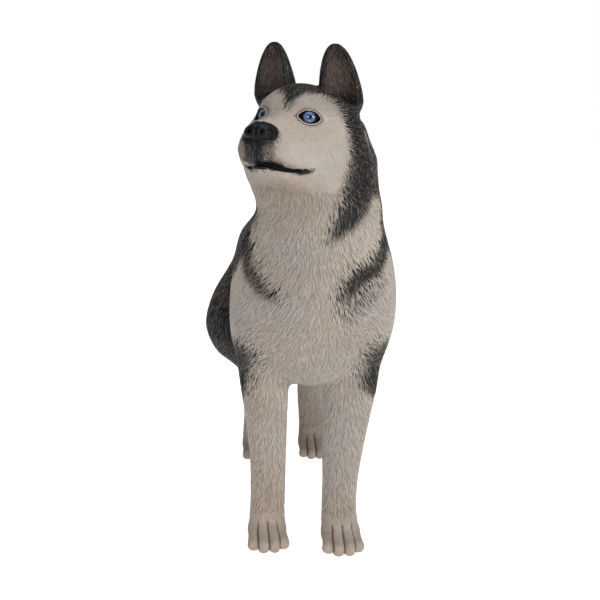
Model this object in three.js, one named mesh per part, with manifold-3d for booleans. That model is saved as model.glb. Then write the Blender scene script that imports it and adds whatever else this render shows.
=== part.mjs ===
// Life-size standing husky statue, one cast shell shown as named solids.
// Millimetres, +Z up, floor at z = 0, the dog faces -Y and its left side is +X.

import * as THREE from "three";
import Module from "manifold-3d";

const wasm = await Module();
wasm.setup();
const { Manifold, Mesh } = wasm;

// Driving sizes
const GAP = 0.3;
const SCRAP = 1000;
const MIDDLE = [8, 22.2, 0];
const HEAD_AT = [-33, -263, 749];
const HEAD_YAW = THREE.MathUtils.degToRad(32);
const HEAD_PITCH = THREE.MathUtils.degToRad(13.5);
const HEAD_ROLL = THREE.MathUtils.degToRad(-1.5);
const EYE = {
  forward: -8.6, side: 34.8, up: -3, radius: 19,
  outward: THREE.MathUtils.degToRad(33), arc: 21.2, arcOffset: 10.4,
};
const NOSE = { forward: 86, up: -43, length: 17, halfWidth: 25, halfHeight: 15 };
const MOUTH = { frontUp: -88, cornerUp: -88, sag: 5, front: 80, corner: 7, depth: 4.5, width: 3 };
const EAR = { forward: -68, side: 63, up: 38, tipForward: -42, tipUp: 128, halfWidth: 38 };
const EAR_SIDES = {
  left: { tipSide: 52, turn: THREE.MathUtils.degToRad(16) },
  right: { tipSide: 60, turn: THREE.MathUtils.degToRad(6) },
};
const FORE_PAW = { width: 71, length: 92 };
const HIND_PAW = { width: 66, length: 86 };
const ANKLE = 46;
const BODY_STEP = 5;
const HEAD_STEP = 2.5;
const NOSE_STEP = 1.5;
const TRIANGLES = { body: 5300, head: 6400, nose: 1000, noseBed: 700 };

// Columns: each row is one level and the section there
// Upright rows: z, centre x, centre y, half width, half depth
const NECK_ROWS = [
  [400, 21, -222, 84, 70], [440, 21, -217, 102, 92], [480, 22, -208, 110, 105], [520, 23, -198, 112, 110],
  [560, 26, -193, 111, 105], [593, 29, -196, 106, 98], [623, 23, -200, 106, 92], [650, 20, -203, 106, 88],
  [673, 21, -205, 103, 86], [700, 19, -206, 94, 82], [735, 14, -207, 84, 74], [768, 6, -210, 56, 50],
  [784, 2, -212, 20, 18],
];
const FORE_ROWS = {
  right: [
    [6, -62, -206, 26, 26], [24, -62, -203, 30, 30], [56, -61.5, -197, 30, 29], [96, -60, -194, 30, 29],
    [149, -59.5, -191, 31, 32], [225, -61.5, -185, 36.5, 39], [276, -63.5, -180, 41.5, 46],
    [330, -64.5, -177, 46.5, 55], [380, -66, -180, 50, 60], [430, -62, -190, 46, 56],
  ],
  left: [
    [6, 63, -238, 27, 26], [24, 63, -235, 31, 30], [66, 61, -226, 30, 30], [117, 64.3, -218, 30.8, 30],
    [175, 70.6, -206, 36.6, 36], [234, 79.5, -193, 42.5, 41], [273, 85, -186, 47, 48], [330, 88, -180, 51, 55],
    [380, 88, -182, 50, 60], [430, 88, -190, 46, 56],
  ],
};
// Hind rows: z, centre x of the right leg and of the left leg, centre y, half width, half depth
const HIND_ROWS = [
  [6, -36, 82, 308, 25, 25], [24, -37, 81, 312, 29, 30], [60, -38.5, 80, 316, 27, 27],
  [90, -37, 78.5, 317, 27, 26], [120, -39.5, 77, 317, 27, 27], [150, -43, 76, 314, 27, 32],
  [172, -45, 75, 302, 28, 41], [195, -46, 76.5, 277, 31, 47], [215, -54, 80.5, 250, 35, 50],
  [235, -69, 85, 226, 39, 55], [254, -81.5, 92, 208, 44, 64], [279, -89, 99, 195, 50, 76],
  [305, -93, 103, 191, 54, 85], [330, -90, 100, 198, 55, 93], [367, -77, 87, 211, 54, 99],
  [408, -57, 67, 221, 48, 98], [446, -41, 51, 227, 40, 92], [490, -33, 43, 233, 30, 72],
  [516, -24, 34, 232, 12, 44],
];
const TAIL_ROWS = [
  [150, 6, 338, 8, 9], [165, 6, 342, 17, 18], [200, 6, 352, 25, 26], [260, 6, 366, 32, 33],
  [320, 6, 372, 35, 35], [380, 5, 364, 34, 33], [430, 5, 344, 31, 32], [470, 5, 318, 30, 36],
  [494, 5, 296, 27, 34],
  [510, 5, 268, 18, 26],
];
// Lying rows: y, top, bottom, centre x, half width
const TORSO_ROWS = [
  [-225, 522, 312, 21, 98], [-185, 560, 285, 20, 123], [-140, 570, 281, 20, 126],
  [-70, 566, 283, 17, 122], [0, 557, 293, 13, 115], [70, 554, 313, 9, 101], [130, 554, 332, 7, 91],
  [190, 550, 348, 5, 85], [235, 541, 356, 5, 80], [270, 526, 368, 5, 70], [298, 504, 385, 5, 54],
  [318, 475, 410, 5, 32],
];

// Smooth joining and cutting of distances
const smoothMin = (a, b, k) => {
  const h = Math.max(k - Math.abs(a - b), 0) / k;
  return Math.min(a, b) - h * h * k * 0.25;
};
const smoothMax = (a, b, k) => -smoothMin(-a, -b, k);
const ridge = (t) => Math.exp(-t * t);
const clamp01 = (t) => Math.min(1, Math.max(0, t));

function ellipse(x, y, a, b) {
  const k0 = Math.hypot(x / a, y / b);
  const k1 = Math.hypot(x / (a * a), y / (b * b));
  return k1 < 1e-9 ? -Math.min(a, b) : (k0 * (k0 - 1)) / k1;
}

// An oval with fuller shoulders
function squarish(x, y, a, b) {
  const px = Math.abs(x / a);
  const py = Math.abs(y / b);
  const k = Math.cbrt(px ** 3 + py ** 3);
  if (k < 1e-6) return -Math.min(a, b);
  return ((k - 1) * k * k) / Math.hypot((px * px) / a, (py * py) / b);
}

function ellipsoid(x, y, z, c, r) {
  const px = (x - c[0]) / r[0];
  const py = (y - c[1]) / r[1];
  const pz = (z - c[2]) / r[2];
  const k0 = Math.hypot(px, py, pz);
  const k1 = Math.hypot(px / r[0], py / r[1], pz / r[2]);
  return k1 < 1e-9 ? -Math.min(...r) : (k0 * (k0 - 1)) / k1;
}

function roundCone(x, y, z, a, b, ra, rb) {
  const dx = b[0] - a[0];
  const dy = b[1] - a[1];
  const dz = b[2] - a[2];
  const px = x - a[0];
  const py = y - a[1];
  const pz = z - a[2];
  const t = clamp01((px * dx + py * dy + pz * dz) / (dx * dx + dy * dy + dz * dz));
  return Math.hypot(px - t * dx, py - t * dy, pz - t * dz) - (ra + (rb - ra) * t);
}

// A column holds its rows and their slopes, for a smooth curve through every row
function column(rows) {
  const slopes = rows.map((row, i) => {
    const before = rows[Math.max(0, i - 1)];
    const after = rows[Math.min(rows.length - 1, i + 1)];
    return row.map((_, k) => (after[k] - before[k]) / (after[0] - before[0]));
  });
  return { rows, slopes };
}

const section = new Float64Array(5);
function sectionAt(col, level) {
  const { rows, slopes } = col;
  const last = rows.length - 1;
  const t = Math.min(rows[last][0], Math.max(rows[0][0], level));
  let i = 0;
  while (i < last - 1 && t > rows[i + 1][0]) i++;
  const span = rows[i + 1][0] - rows[i][0];
  const u = (t - rows[i][0]) / span;
  const u2 = u * u;
  const u3 = u2 * u;
  for (let k = 1; k < 5; k++) {
    section[k] = (2 * u3 - 3 * u2 + 1) * rows[i][k] + (u3 - 2 * u2 + u) * span * slopes[i][k]
      + (3 * u2 - 2 * u3) * rows[i + 1][k] + (u3 - u2) * span * slopes[i + 1][k];
  }
  return Math.abs(level - t);
}

function capped(side, over) {
  if (over === 0) return side;
  return side > 0 ? Math.hypot(side, over) : over;
}

function upright(x, y, z, col) {
  const over = sectionAt(col, z);
  return capped(0.92 * ellipse(x - section[1], y - section[2], section[3], section[4]), over);
}

function lying(x, y, z, col) {
  const over = sectionAt(col, y);
  const middle = (section[1] + section[2]) / 2;
  return capped(0.92 * ellipse(x - section[3], z - middle, section[4], section[1] - middle), over);
}

// The head's own frame: forward along the muzzle, side to the dog's left, up
const HEAD_AXES = (() => {
  const cp = Math.cos(HEAD_PITCH);
  const forward = new THREE.Vector3(-Math.sin(HEAD_YAW) * cp, -Math.cos(HEAD_YAW) * cp, Math.sin(HEAD_PITCH));
  const side = new THREE.Vector3(Math.cos(HEAD_YAW), -Math.sin(HEAD_YAW), 0);
  side.applyAxisAngle(forward, HEAD_ROLL);
  const up = new THREE.Vector3().crossVectors(forward, side);
  return { forward, side, up };
})();

function toHead(x, y, z) {
  const dx = x - HEAD_AT[0];
  const dy = y - HEAD_AT[1];
  const dz = z - HEAD_AT[2];
  return [HEAD_AXES.forward, HEAD_AXES.side, HEAD_AXES.up].map((v) => dx * v.x + dy * v.y + dz * v.z);
}

function fromHead(f, s, u) {
  return new THREE.Vector3(...HEAD_AT)
    .addScaledVector(HEAD_AXES.forward, f)
    .addScaledVector(HEAD_AXES.side, s)
    .addScaledVector(HEAD_AXES.up, u);
}

// Nose leather with its wings, bores, slits and middle groove
function noseField(f, s, u) {
  const as = Math.abs(s);
  const n = NOSE;
  let d = ellipsoid(f, s, u, [n.forward, 0, n.up], [n.length, n.halfWidth - 2, n.halfHeight]);
  d = smoothMin(d, ellipsoid(f, s, u, [n.forward - 3, 0, n.up - 12], [14, 14, 12]), 8);
  d = smoothMin(d, ellipsoid(f, as, u, [n.forward, 14, n.up - 3], [14, 11, 11]), 4);
  const bore = roundCone(f, as, u, [n.forward + 16, 10.5, n.up - 1], [n.forward - 1, 15, n.up - 5], 3.2, 2.4);
  d = smoothMax(d, -bore, 2.5);
  const slit = roundCone(f, as, u, [n.forward + 8, 17, n.up - 4], [n.forward - 8, 28, n.up - 1], 2, 1.6);
  d = smoothMax(d, -slit, 2);
  return d + 2.2 * ridge(s / 2.2) * clamp01((f - n.forward) / 8);
}

// Ear: a leaf that narrows to the tip, hollowed from the front
function earField(f, s, u, { tipSide, turn }) {
  const below = 30;
  const tall = EAR.tipUp - EAR.up + below;
  const t = (u - EAR.up + below) / tall;
  const k = (u - EAR.up) / (EAR.tipUp - EAR.up);
  const ds = s - EAR.side - (tipSide - EAR.side) * k;
  const df = f - EAR.forward - (EAR.tipForward - EAR.forward) * k;
  const across = ds * Math.cos(turn) - df * Math.sin(turn);
  const out = ds * Math.sin(turn) + df * Math.cos(turn);
  const tt = clamp01(t);
  const taper = Math.sqrt(Math.max(0, 1 - tt ** 2.2));
  const spread = 1 - (1 - Math.min(1, tt * 2.2)) ** 2;
  const root = Math.sqrt(Math.max(0.02, 1 - Math.max(0, (0.3 - t) / 0.32) ** 2));
  const half = (EAR.halfWidth * (0.55 + 0.45 * spread) * taper + 0.5) * root;
  const back = ((60 - 52 * tt) * taper + 2) * root;
  const front = (22 - 12 * tt) * taper + 2;
  const side = out > 0 ? ellipse(across, out, half, front) : squarish(across, out, half, back);
  const outer = Math.max(side, Math.max(t - 1, -t) * tall);
  const cupFloor = (0.25 - t) * tall * 0.6 - across * 0.12;
  const cupHalf = Math.max(1, half * 0.9 - 4.5);
  const cup = Math.max(ellipse(across, out - front * 0.62 - 4, cupHalf, front * 1.1), cupFloor);
  return smoothMax(outer, -cup, 3.5);
}

// Skull, cheeks, muzzle and jaw, mirrored about the head's middle
function skullField(f, s, u) {
  const as = Math.abs(s);
  let d = ellipsoid(f, s, u, [-54, 0, -6], [62, 74, 67]);
  d = smoothMin(d, ellipsoid(f, as, u, [-24, 29.5, 8], [27, 24, 20]), 20);
  d = smoothMin(d, ellipsoid(f, as, u, [-34, 42, -54], [56, 43, 44]), 30);
  d = smoothMin(d, ellipsoid(f, as, u, [-72, 52, -66], [50, 44, 58]), 26);
  let muzzle = roundCone(f, s, u, [-10, 0, -42], [68, 0, -54], 46, 30);
  muzzle = smoothMin(muzzle, roundCone(f, as, u, [-6, 27, -60], [62, 20, -69], 36, 23), 18);
  d = smoothMin(d, muzzle, 34);
  d = smoothMin(d, roundCone(f, s, u, [-18, 0, -22], [74, 0, -43], 24, 18), 14);
  let jaw = roundCone(f, s, u, [-20, 0, -90], [56, 0, -91], 30, 16);
  jaw = smoothMin(jaw, roundCone(f, as, u, [-25, 30, -89], [50, 8.5, -91], 27, 14), 10);
  return smoothMin(d, jaw, 7);
}

function headField(x, y, z) {
  const [f, s, u] = toHead(x, y, z);
  const as = Math.abs(s);
  let d = skullField(f, s, u);
  const along = (f - MOUTH.corner) / (MOUTH.front - MOUTH.corner);
  const straight = MOUTH.cornerUp + (MOUTH.frontUp - MOUTH.cornerUp) * along;
  const line = straight - 4 * MOUTH.sag * along * (1 - along);
  d += MOUTH.depth * ridge((u - line) / MOUTH.width) * clamp01((f - MOUTH.corner) / 5);
  if (u > line) d += 2 * ridge(s / 2.4) * clamp01((f - 78) / 6);
  // Eyelids: a low mound, the fold round it and the almond opening
  const df = f - EYE.forward;
  const ds = as - EYE.side;
  const across = -df * Math.sin(EYE.outward) + ds * Math.cos(EYE.outward);
  const out = df * Math.cos(EYE.outward) + ds * Math.sin(EYE.outward);
  const rise = u - EYE.up;
  if (out > -6) {
    const lower = Math.hypot(across, rise + EYE.arcOffset);
    const upper = Math.hypot(across, rise - EYE.arcOffset);
    const almond = Math.max(lower, upper) - EYE.arc;
    const ball = Math.hypot(across, rise, out) - EYE.radius;
    d = smoothMin(d, Math.max(ball - 2, almond - 3.4), 5);
    if (out > 0) d += 1.1 * ridge((almond - 4.6) / 2.2);
    d = smoothMax(d, -Math.max(almond, -out), 1.5);
  }
  const ear = s > 0 ? EAR_SIDES.left : EAR_SIDES.right;
  if (u > -20 && f < 30) d = smoothMin(d, earField(f, as, u, ear), 7);
  return d;
}

// Paw with four toes pointing to -Y
function pawField(x, y, z, paw) {
  const { at, width, length } = paw;
  const lx = x - at[0];
  const ly = y - at[1];
  let d = Infinity;
  for (const place of [-1.5, -0.5, 0.5, 1.5]) {
    const inner = Math.abs(place) < 1;
    const tx = Math.sign(place) * width * (inner ? 0.138 : 0.372);
    const ty = inner ? -length * 0.2 : -length * 0.08;
    const r = width * (inner ? 0.15 : 0.128);
    const knuckle = [tx * 0.86, ty + length * 0.2, inner ? 34 : 28];
    const tip = roundCone(lx, ly, z, [tx, ty - length * 0.17, 13], [tx, ty - length * 0.03, 9], r * 0.98, r);
    let toe = roundCone(lx, ly, z, knuckle, [tx, ty - length * 0.16, 17], r, r);
    toe = smoothMin(toe, tip, 4);
    d = d === Infinity ? toe : smoothMin(d, toe, 2);
  }
  return smoothMin(d, ellipsoid(lx, ly, z, [0, length * 0.22, 24], [width * 0.43, length * 0.29, 28]), 6);
}

// Legs: the dog's right is -1, its left is +1
const neckColumn = column(NECK_ROWS);
const torsoColumn = column(TORSO_ROWS);
const tailColumn = column(TAIL_ROWS);
const hindColumn = (place) => column(
  HIND_ROWS.map(([z, right, left, y, rx, ry]) => [z, [right, left][place], y, rx, ry]),
);
const legOf = (x, y, top, blend, shape, at, size) => ({ x, y, top, blend, shape, paw: { at, ...size } });
const LEGS = [
  legOf([-140, -10], [-330, -90], 470, 18, column(FORE_ROWS.right), [-64, -227], FORE_PAW),
  legOf([10, 150], [-330, -90], 470, 18, column(FORE_ROWS.left), [62, -256], FORE_PAW),
  legOf([-170, 5], [90, 380], 580, 28, hindColumn(0), [-38, 284], HIND_PAW),
  legOf([5, 175], [90, 380], 580, 28, hindColumn(1), [81, 284], HIND_PAW),
];

function outside(x, y, z, leg) {
  const dx = Math.max(leg.x[0] - x, 0, x - leg.x[1]);
  const dy = Math.max(leg.y[0] - y, 0, y - leg.y[1]);
  return Math.hypot(dx, dy, Math.max(0, z - leg.top));
}

// The whole dog: negative inside
function dogField(x, y, z) {
  let d = lying(x, y, z, torsoColumn);
  d = smoothMin(d, ellipsoid(x, y, z, [21, -190, 420], [118, 112, 134]), 30);
  const shoulder = ellipsoid(Math.abs(x - 21), y, z, [90, -185, 425], [51, 78, 112]);
  d = smoothMin(d, shoulder, 24);
  d = smoothMin(d, upright(x, y, z, neckColumn), 46);
  if (z < 620) {
    for (const leg of LEGS) {
      if (outside(x, y, z, leg) > 40) continue;
      let limb = upright(x, y, z, leg.shape);
      if (z < 110) limb = smoothMin(limb, pawField(x, y, z, leg.paw), 12);
      d = smoothMin(d, limb, leg.blend);
    }
    if (y > 200) d = smoothMin(d, upright(x, y, z, tailColumn), 14);
  }
  if (z > 480) d = smoothMin(d, headField(x, y, z), 14);
  return d;
}

// Surface of a field as quads, one point in each cell that the surface crosses
const CORNERS = [0, 1, 2, 3, 4, 5, 6, 7].map((i) => [i >> 2, (i >> 1) & 1, i & 1]);
const EDGES = [];
for (let a = 0; a < 8; a++) {
  for (const bit of [1, 2, 4]) if (!(a & bit)) EDGES.push([a, a | bit]);
}
function surfaceOf(field, low, high, step) {
  const block = 6;
  const blocks = low.map((v, k) => Math.ceil((high[k] - v) / (step * block)));
  const n = blocks.map((v) => v * block + 1);
  const values = new Float32Array(n[0] * n[1] * n[2]);
  const known = new Uint8Array(values.length);
  const at = (i, j, k) => (i * n[1] + j) * n[2] + k;
  const reach = step * block;
  for (let b = 0; b < blocks[0] * blocks[1] * blocks[2]; b++) {
    const bi = Math.floor(b / (blocks[1] * blocks[2]));
    const bj = Math.floor(b / blocks[2]) % blocks[1];
    const bk = b % blocks[2];
    const centre = [bi, bj, bk].map((v, k) => low[k] + reach * (v + 0.5));
    const middle = field(...centre);
    const far = Math.abs(middle) > reach * 1.25 + step;
    for (let i = bi * block; i <= bi * block + block; i++) {
      for (let j = bj * block; j <= bj * block + block; j++) {
        for (let k = bk * block; k <= bk * block + block; k++) {
          const a = at(i, j, k);
          if (known[a]) continue;
          if (far) {
            values[a] = middle;
          } else {
            values[a] = field(low[0] + step * i, low[1] + step * j, low[2] + step * k);
            known[a] = 1;
          }
        }
      }
    }
  }
  closeAndClear(values, n, at, step);
  const ids = new Int32Array(values.length).fill(-1);
  const points = [];
  const v = new Float64Array(8);
  for (let i = 0; i < n[0] - 1; i++) {
    for (let j = 0; j < n[1] - 1; j++) {
      for (let k = 0; k < n[2] - 1; k++) {
        let inside = 0;
        for (let q = 0; q < 8; q++) {
          v[q] = values[at(i + CORNERS[q][0], j + CORNERS[q][1], k + CORNERS[q][2])];
          if (v[q] < 0) inside++;
        }
        if (inside === 0 || inside === 8) continue;
        const sum = [0, 0, 0];
        let count = 0;
        for (const [a, b] of EDGES) {
          if (v[a] < 0 === v[b] < 0) continue;
          const t = v[a] / (v[a] - v[b]);
          for (let m = 0; m < 3; m++) {
            sum[m] += CORNERS[a][m] + t * (CORNERS[b][m] - CORNERS[a][m]);
          }
          count++;
        }
        ids[at(i, j, k)] = points.length / 3;
        const cell = [i, j, k];
        points.push(...cell.map((c, m) => low[m] + step * (c + sum[m] / count)));
      }
    }
  }
  const faces = [];
  const ring = [[0, 0], [-1, 0], [-1, -1], [0, -1]];
  const next = [[1, 0, 0], [0, 1, 0], [0, 0, 1]];
  for (let i = 0; i < n[0] - 1; i++) {
    for (let j = 0; j < n[1] - 1; j++) {
      for (let k = 0; k < n[2] - 1; k++) {
        const solid = values[at(i, j, k)] < 0;
        for (let axis = 0; axis < 3; axis++) {
          const [di, dj, dk] = next[axis];
          if (solid === values[at(i + di, j + dj, k + dk)] < 0) continue;
          if ([i, j, k][(axis + 1) % 3] === 0 || [i, j, k][(axis + 2) % 3] === 0) continue;
          const quad = ring.map(([p, q]) => {
            const shift = [0, 0, 0];
            shift[(axis + 1) % 3] = p;
            shift[(axis + 2) % 3] = q;
            return ids[at(i + shift[0], j + shift[1], k + shift[2])];
          });
          if (solid) quad.reverse();
          faces.push(quad[0], quad[2], quad[1], quad[0], quad[3], quad[2]);
        }
      }
    }
  }
  return { points: Float64Array.from(points), faces: Int32Array.from(faces) };
}

// The box's own faces count as outside, and no cell face may hold two diagonal inside corners
function closeAndClear(values, n, at, step) {
  for (let i = 0; i < n[0]; i++) {
    for (let j = 0; j < n[1]; j++) {
      for (let k = 0; k < n[2]; k++) {
        const onFace = [i, j, k].some((c, m) => c === 0 || c === n[m] - 1);
        if (onFace) values[at(i, j, k)] = Math.max(values[at(i, j, k)], step / 2);
      }
    }
  }
  const steps = [[1, 0, 0], [0, 1, 0], [0, 0, 1]];
  for (let pass = 0, changed = 1; changed && pass < 20; pass++) {
    changed = 0;
    for (let i = 0; i < n[0] - 1; i++) {
      for (let j = 0; j < n[1] - 1; j++) {
        for (let k = 0; k < n[2] - 1; k++) {
          for (const [p, q] of [[0, 1], [1, 2], [0, 2]]) {
            const [a, b] = [steps[p], steps[q]];
            const c00 = at(i, j, k);
            const c10 = at(i + a[0], j + a[1], k + a[2]);
            const c01 = at(i + b[0], j + b[1], k + b[2]);
            const c11 = at(i + a[0] + b[0], j + a[1] + b[1], k + a[2] + b[2]);
            const s = values[c00] < 0;
            if (s !== values[c11] < 0 || s === values[c10] < 0 || s === values[c01] < 0) continue;
            const pair = s ? [c10, c01] : [c00, c11];
            const near = values[pair[0]] < values[pair[1]] ? pair[0] : pair[1];
            values[near] = -0.02 * step;
            changed++;
          }
        }
      }
    }
  }
}

// Fewer triangles: the edge whose removal bends the surface least goes first
function simplify(surface, target, weightAt) {
  const P = surface.points;
  const T = surface.faces;
  const vertexCount = P.length / 3;
  const Q = new Float64Array(vertexCount * 10);
  const around = Array.from({ length: vertexCount }, () => []);
  const alive = new Uint8Array(T.length / 3).fill(1);
  const normalOf = (a, b, c) => {
    const ux = P[b * 3] - P[a * 3];
    const uy = P[b * 3 + 1] - P[a * 3 + 1];
    const uz = P[b * 3 + 2] - P[a * 3 + 2];
    const vx = P[c * 3] - P[a * 3];
    const vy = P[c * 3 + 1] - P[a * 3 + 1];
    const vz = P[c * 3 + 2] - P[a * 3 + 2];
    return [uy * vz - uz * vy, uz * vx - ux * vz, ux * vy - uy * vx];
  };
  for (let t = 0; t < alive.length; t++) {
    const corners = [T[t * 3], T[t * 3 + 1], T[t * 3 + 2]];
    const n = normalOf(...corners);
    const size = Math.hypot(...n) || 1e-12;
    const [a, b, c] = n.map((v) => v / size);
    const first = corners[0] * 3;
    const d = -(a * P[first] + b * P[first + 1] + c * P[first + 2]);
    const w = size * weightAt(P[first], P[first + 1], P[first + 2]);
    const q = [a * a, a * b, a * c, a * d, b * b, b * c, b * d, c * c, c * d, d * d];
    for (const v of corners) {
      around[v].push(t);
      for (let k = 0; k < 10; k++) Q[v * 10 + k] += q[k] * w;
    }
  }
  const stamp = new Uint32Array(vertexCount);
  const heap = [];
  const swap = (i, j) => {
    const h = heap[i];
    heap[i] = heap[j];
    heap[j] = h;
  };
  const push = (entry) => {
    let i = heap.push(entry) - 1;
    while (i > 0 && heap[(i - 1) >> 1].cost > heap[i].cost) {
      swap(i, (i - 1) >> 1);
      i = (i - 1) >> 1;
    }
  };
  const pop = () => {
    const top = heap[0];
    const last = heap.pop();
    if (heap.length === 0) return top;
    heap[0] = last;
    for (let i = 0; ;) {
      let small = i;
      const left = 2 * i + 1;
      if (left < heap.length && heap[left].cost < heap[small].cost) small = left;
      if (left + 1 < heap.length && heap[left + 1].cost < heap[small].cost) small = left + 1;
      if (small === i) return top;
      swap(i, small);
      i = small;
    }
  };
  const errorAt = (q, x, y, z) => x * (q[0] * x + 2 * (q[1] * y + q[2] * z + q[3]))
    + y * (q[4] * y + 2 * (q[5] * z + q[6])) + z * (q[7] * z + 2 * q[8]) + q[9];
  const consider = (a, b) => {
    const q = new Float64Array(10);
    for (let k = 0; k < 10; k++) q[k] = Q[a * 10 + k] + Q[b * 10 + k];
    const pa = new THREE.Vector3().fromArray(P, a * 3);
    const pb = new THREE.Vector3().fromArray(P, b * 3);
    const edge = pa.distanceTo(pb);
    const middle = pa.add(pb).multiplyScalar(0.5);
    const best = middle.clone();
    const system = new THREE.Matrix3(q[0], q[1], q[2], q[1], q[4], q[5], q[2], q[5], q[7]);
    if (Math.abs(system.determinant()) > 1e-4 * (q[0] + q[4] + q[7]) ** 3) {
      best.set(-q[3], -q[6], -q[8]).applyMatrix3(system.invert());
      if (!(best.distanceTo(middle) < edge)) best.copy(middle);
    }
    const { x, y, z } = best;
    push({ cost: errorAt(q, x, y, z) + 1e-4 * edge * edge, a, b, sa: stamp[a], sb: stamp[b], x, y, z });
  };
  const neighbours = (v) => {
    const set = new Set();
    for (const t of around[v]) for (let k = 0; k < 3; k++) if (T[t * 3 + k] !== v) set.add(T[t * 3 + k]);
    return set;
  };
  for (let t = 0; t < alive.length; t++) {
    for (let k = 0; k < 3; k++) {
      const a = T[t * 3 + k];
      const b = T[t * 3 + ((k + 1) % 3)];
      if (a < b) consider(a, b);
    }
  }
  const turnsOver = (v, other, x, y, z) => {
    for (const t of around[v]) {
      const c = [T[t * 3], T[t * 3 + 1], T[t * 3 + 2]];
      if (c.includes(other)) continue;
      const before = normalOf(...c);
      const old = [P[v * 3], P[v * 3 + 1], P[v * 3 + 2]];
      P.set([x, y, z], v * 3);
      const after = normalOf(...c);
      P.set(old, v * 3);
      const dot = before[0] * after[0] + before[1] * after[1] + before[2] * after[2];
      if (dot < 0.25 * Math.hypot(...before) * Math.hypot(...after)) return true;
    }
    return false;
  };
  let left = alive.length;
  while (left > target && heap.length) {
    const e = pop();
    if (e.sa !== stamp[e.a] || e.sb !== stamp[e.b] || !around[e.a].length || !around[e.b].length) continue;
    const na = neighbours(e.a);
    const nb = neighbours(e.b);
    let shared = 0;
    for (const v of na) if (nb.has(v)) shared++;
    if (shared !== 2) continue;
    if (turnsOver(e.a, e.b, e.x, e.y, e.z) || turnsOver(e.b, e.a, e.x, e.y, e.z)) continue;
    P.set([e.x, e.y, e.z], e.a * 3);
    for (let k = 0; k < 10; k++) Q[e.a * 10 + k] += Q[e.b * 10 + k];
    const kept = [];
    for (const t of around[e.b]) {
      const c = [T[t * 3], T[t * 3 + 1], T[t * 3 + 2]];
      if (c.includes(e.a)) {
        alive[t] = 0;
        left--;
        for (const v of c) if (v !== e.b) around[v] = around[v].filter((o) => o !== t);
      } else {
        T[t * 3 + c.indexOf(e.b)] = e.a;
        kept.push(t);
      }
    }
    around[e.a] = around[e.a].concat(kept);
    around[e.b] = [];
    stamp[e.a]++;
    stamp[e.b]++;
    for (const v of neighbours(e.a)) consider(Math.min(v, e.a), Math.max(v, e.a));
  }
  const index = new Map();
  const points = [];
  const faces = [];
  for (let t = 0; t < alive.length; t++) {
    if (!alive[t]) continue;
    for (let k = 0; k < 3; k++) {
      const v = T[t * 3 + k];
      if (!index.has(v)) {
        index.set(v, index.size);
        points.push(P[v * 3], P[v * 3 + 1], P[v * 3 + 2]);
      }
      faces.push(index.get(v));
    }
  }
  return { points, faces };
}

const solidOf = ({ points, faces }) => new Manifold(
  new Mesh({ numProp: 3, vertProperties: Float32Array.from(points), triVerts: Uint32Array.from(faces) }),
);

// A three.js geometry as a solid, moved by a matrix
function solidFrom(geometry, matrix) {
  const flat = geometry.clone().applyMatrix4(matrix);
  const position = flat.getAttribute("position");
  const seen = new Map();
  const points = [];
  const faces = [];
  for (let i = 0; i < flat.index.count; i++) {
    const v = flat.index.getX(i);
    const p = [position.getX(v), position.getY(v), position.getZ(v)];
    const key = p.map((c) => c.toFixed(4)).join();
    if (!seen.has(key)) {
      seen.set(key, seen.size);
      points.push(...p);
    }
    faces.push(seen.get(key));
  }
  const whole = [];
  for (let i = 0; i < faces.length; i += 3) {
    const [a, b, c] = faces.slice(i, i + 3);
    if (a !== b && b !== c && c !== a) whole.push(a, b, c);
  }
  return solidOf({ points, faces: whole });
}

// Everything beyond a plane, as a large block; the plane passes through a point
const FAR = 1400;
function beyond(point, normal) {
  const turn = new THREE.Quaternion().setFromUnitVectors(new THREE.Vector3(0, 0, 1), normal);
  const centre = point.clone().addScaledVector(normal, FAR / 2);
  const place = new THREE.Matrix4().compose(centre, turn, new THREE.Vector3(1, 1, 1));
  return solidFrom(new THREE.BoxGeometry(FAR, FAR, FAR), place);
}

function box(limits) {
  const size = limits.map(([a, b]) => b - a);
  const middle = limits.map(([a, b]) => (a + b) / 2);
  return solidFrom(new THREE.BoxGeometry(...size), new THREE.Matrix4().makeTranslation(...middle));
}

// Parts a solid along a plane with the joint gap; boxes limit how far the cut reaches
function part(solid, point, direction, boxes) {
  const normal = new THREE.Vector3(...direction).normalize();
  const at = new THREE.Vector3(...point);
  const reach = boxes ? Manifold.union(boxes.map(box)) : undefined;
  const region = (p) => (reach ? beyond(p, normal).intersect(reach) : beyond(p, normal));
  const rest = largest(solid.subtract(region(at)));
  const taken = solid.intersect(region(at.clone().addScaledVector(normal, GAP)));
  const bodies = taken.decompose().filter((b) => b.volume() > SCRAP);
  return [rest, bodies.sort((a, b) => b.volume() - a.volume())];
}

function largest(solid) {
  const bodies = solid.decompose().sort((a, b) => b.volume() - a.volume());
  return bodies[0];
}

const sideOf = (solid) => {
  const { min, max } = solid.boundingBox();
  return (min[0] + max[0]) / 2;
};

// Whole dog in two resolutions: the body coarse, the head fine
const pawWeight = (x, y, z) => (z < 60 ? 5 : 1);
const faceWeight = (x, y, z) => {
  const [f, s, u] = toHead(x, y, z);
  const eye = Math.hypot(f - EYE.forward - 12, Math.abs(s) - EYE.side - 8, u - EYE.up);
  if (eye < 30) return 6;
  return f > 0 ? 2.2 : 1;
};
const bodySurface = surfaceOf(dogField, [-180, -350, -15], [180, 430, 680], BODY_STEP);
const topSurface = surfaceOf(dogField, [-180, -400, 570], [180, -70, 890], HEAD_STEP);
const floor = beyond(new THREE.Vector3(), new THREE.Vector3(0, 0, 1));
const body = solidOf(simplify(bodySurface, TRIANGLES.body, pawWeight)).intersect(floor);
const top = solidOf(simplify(topSurface, TRIANGLES.head, faceWeight));

const neckCut = fromHead(0, 0, -120);
const headUp = HEAD_AXES.up.toArray();
const headSpace = [[[-250, 250], [-500, -75], [480, 900]]];
const [lower] = part(body, neckCut.toArray(), headUp, headSpace);
const [, [wholeHead]] = part(top, neckCut.toArray(), headUp, headSpace);

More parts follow.
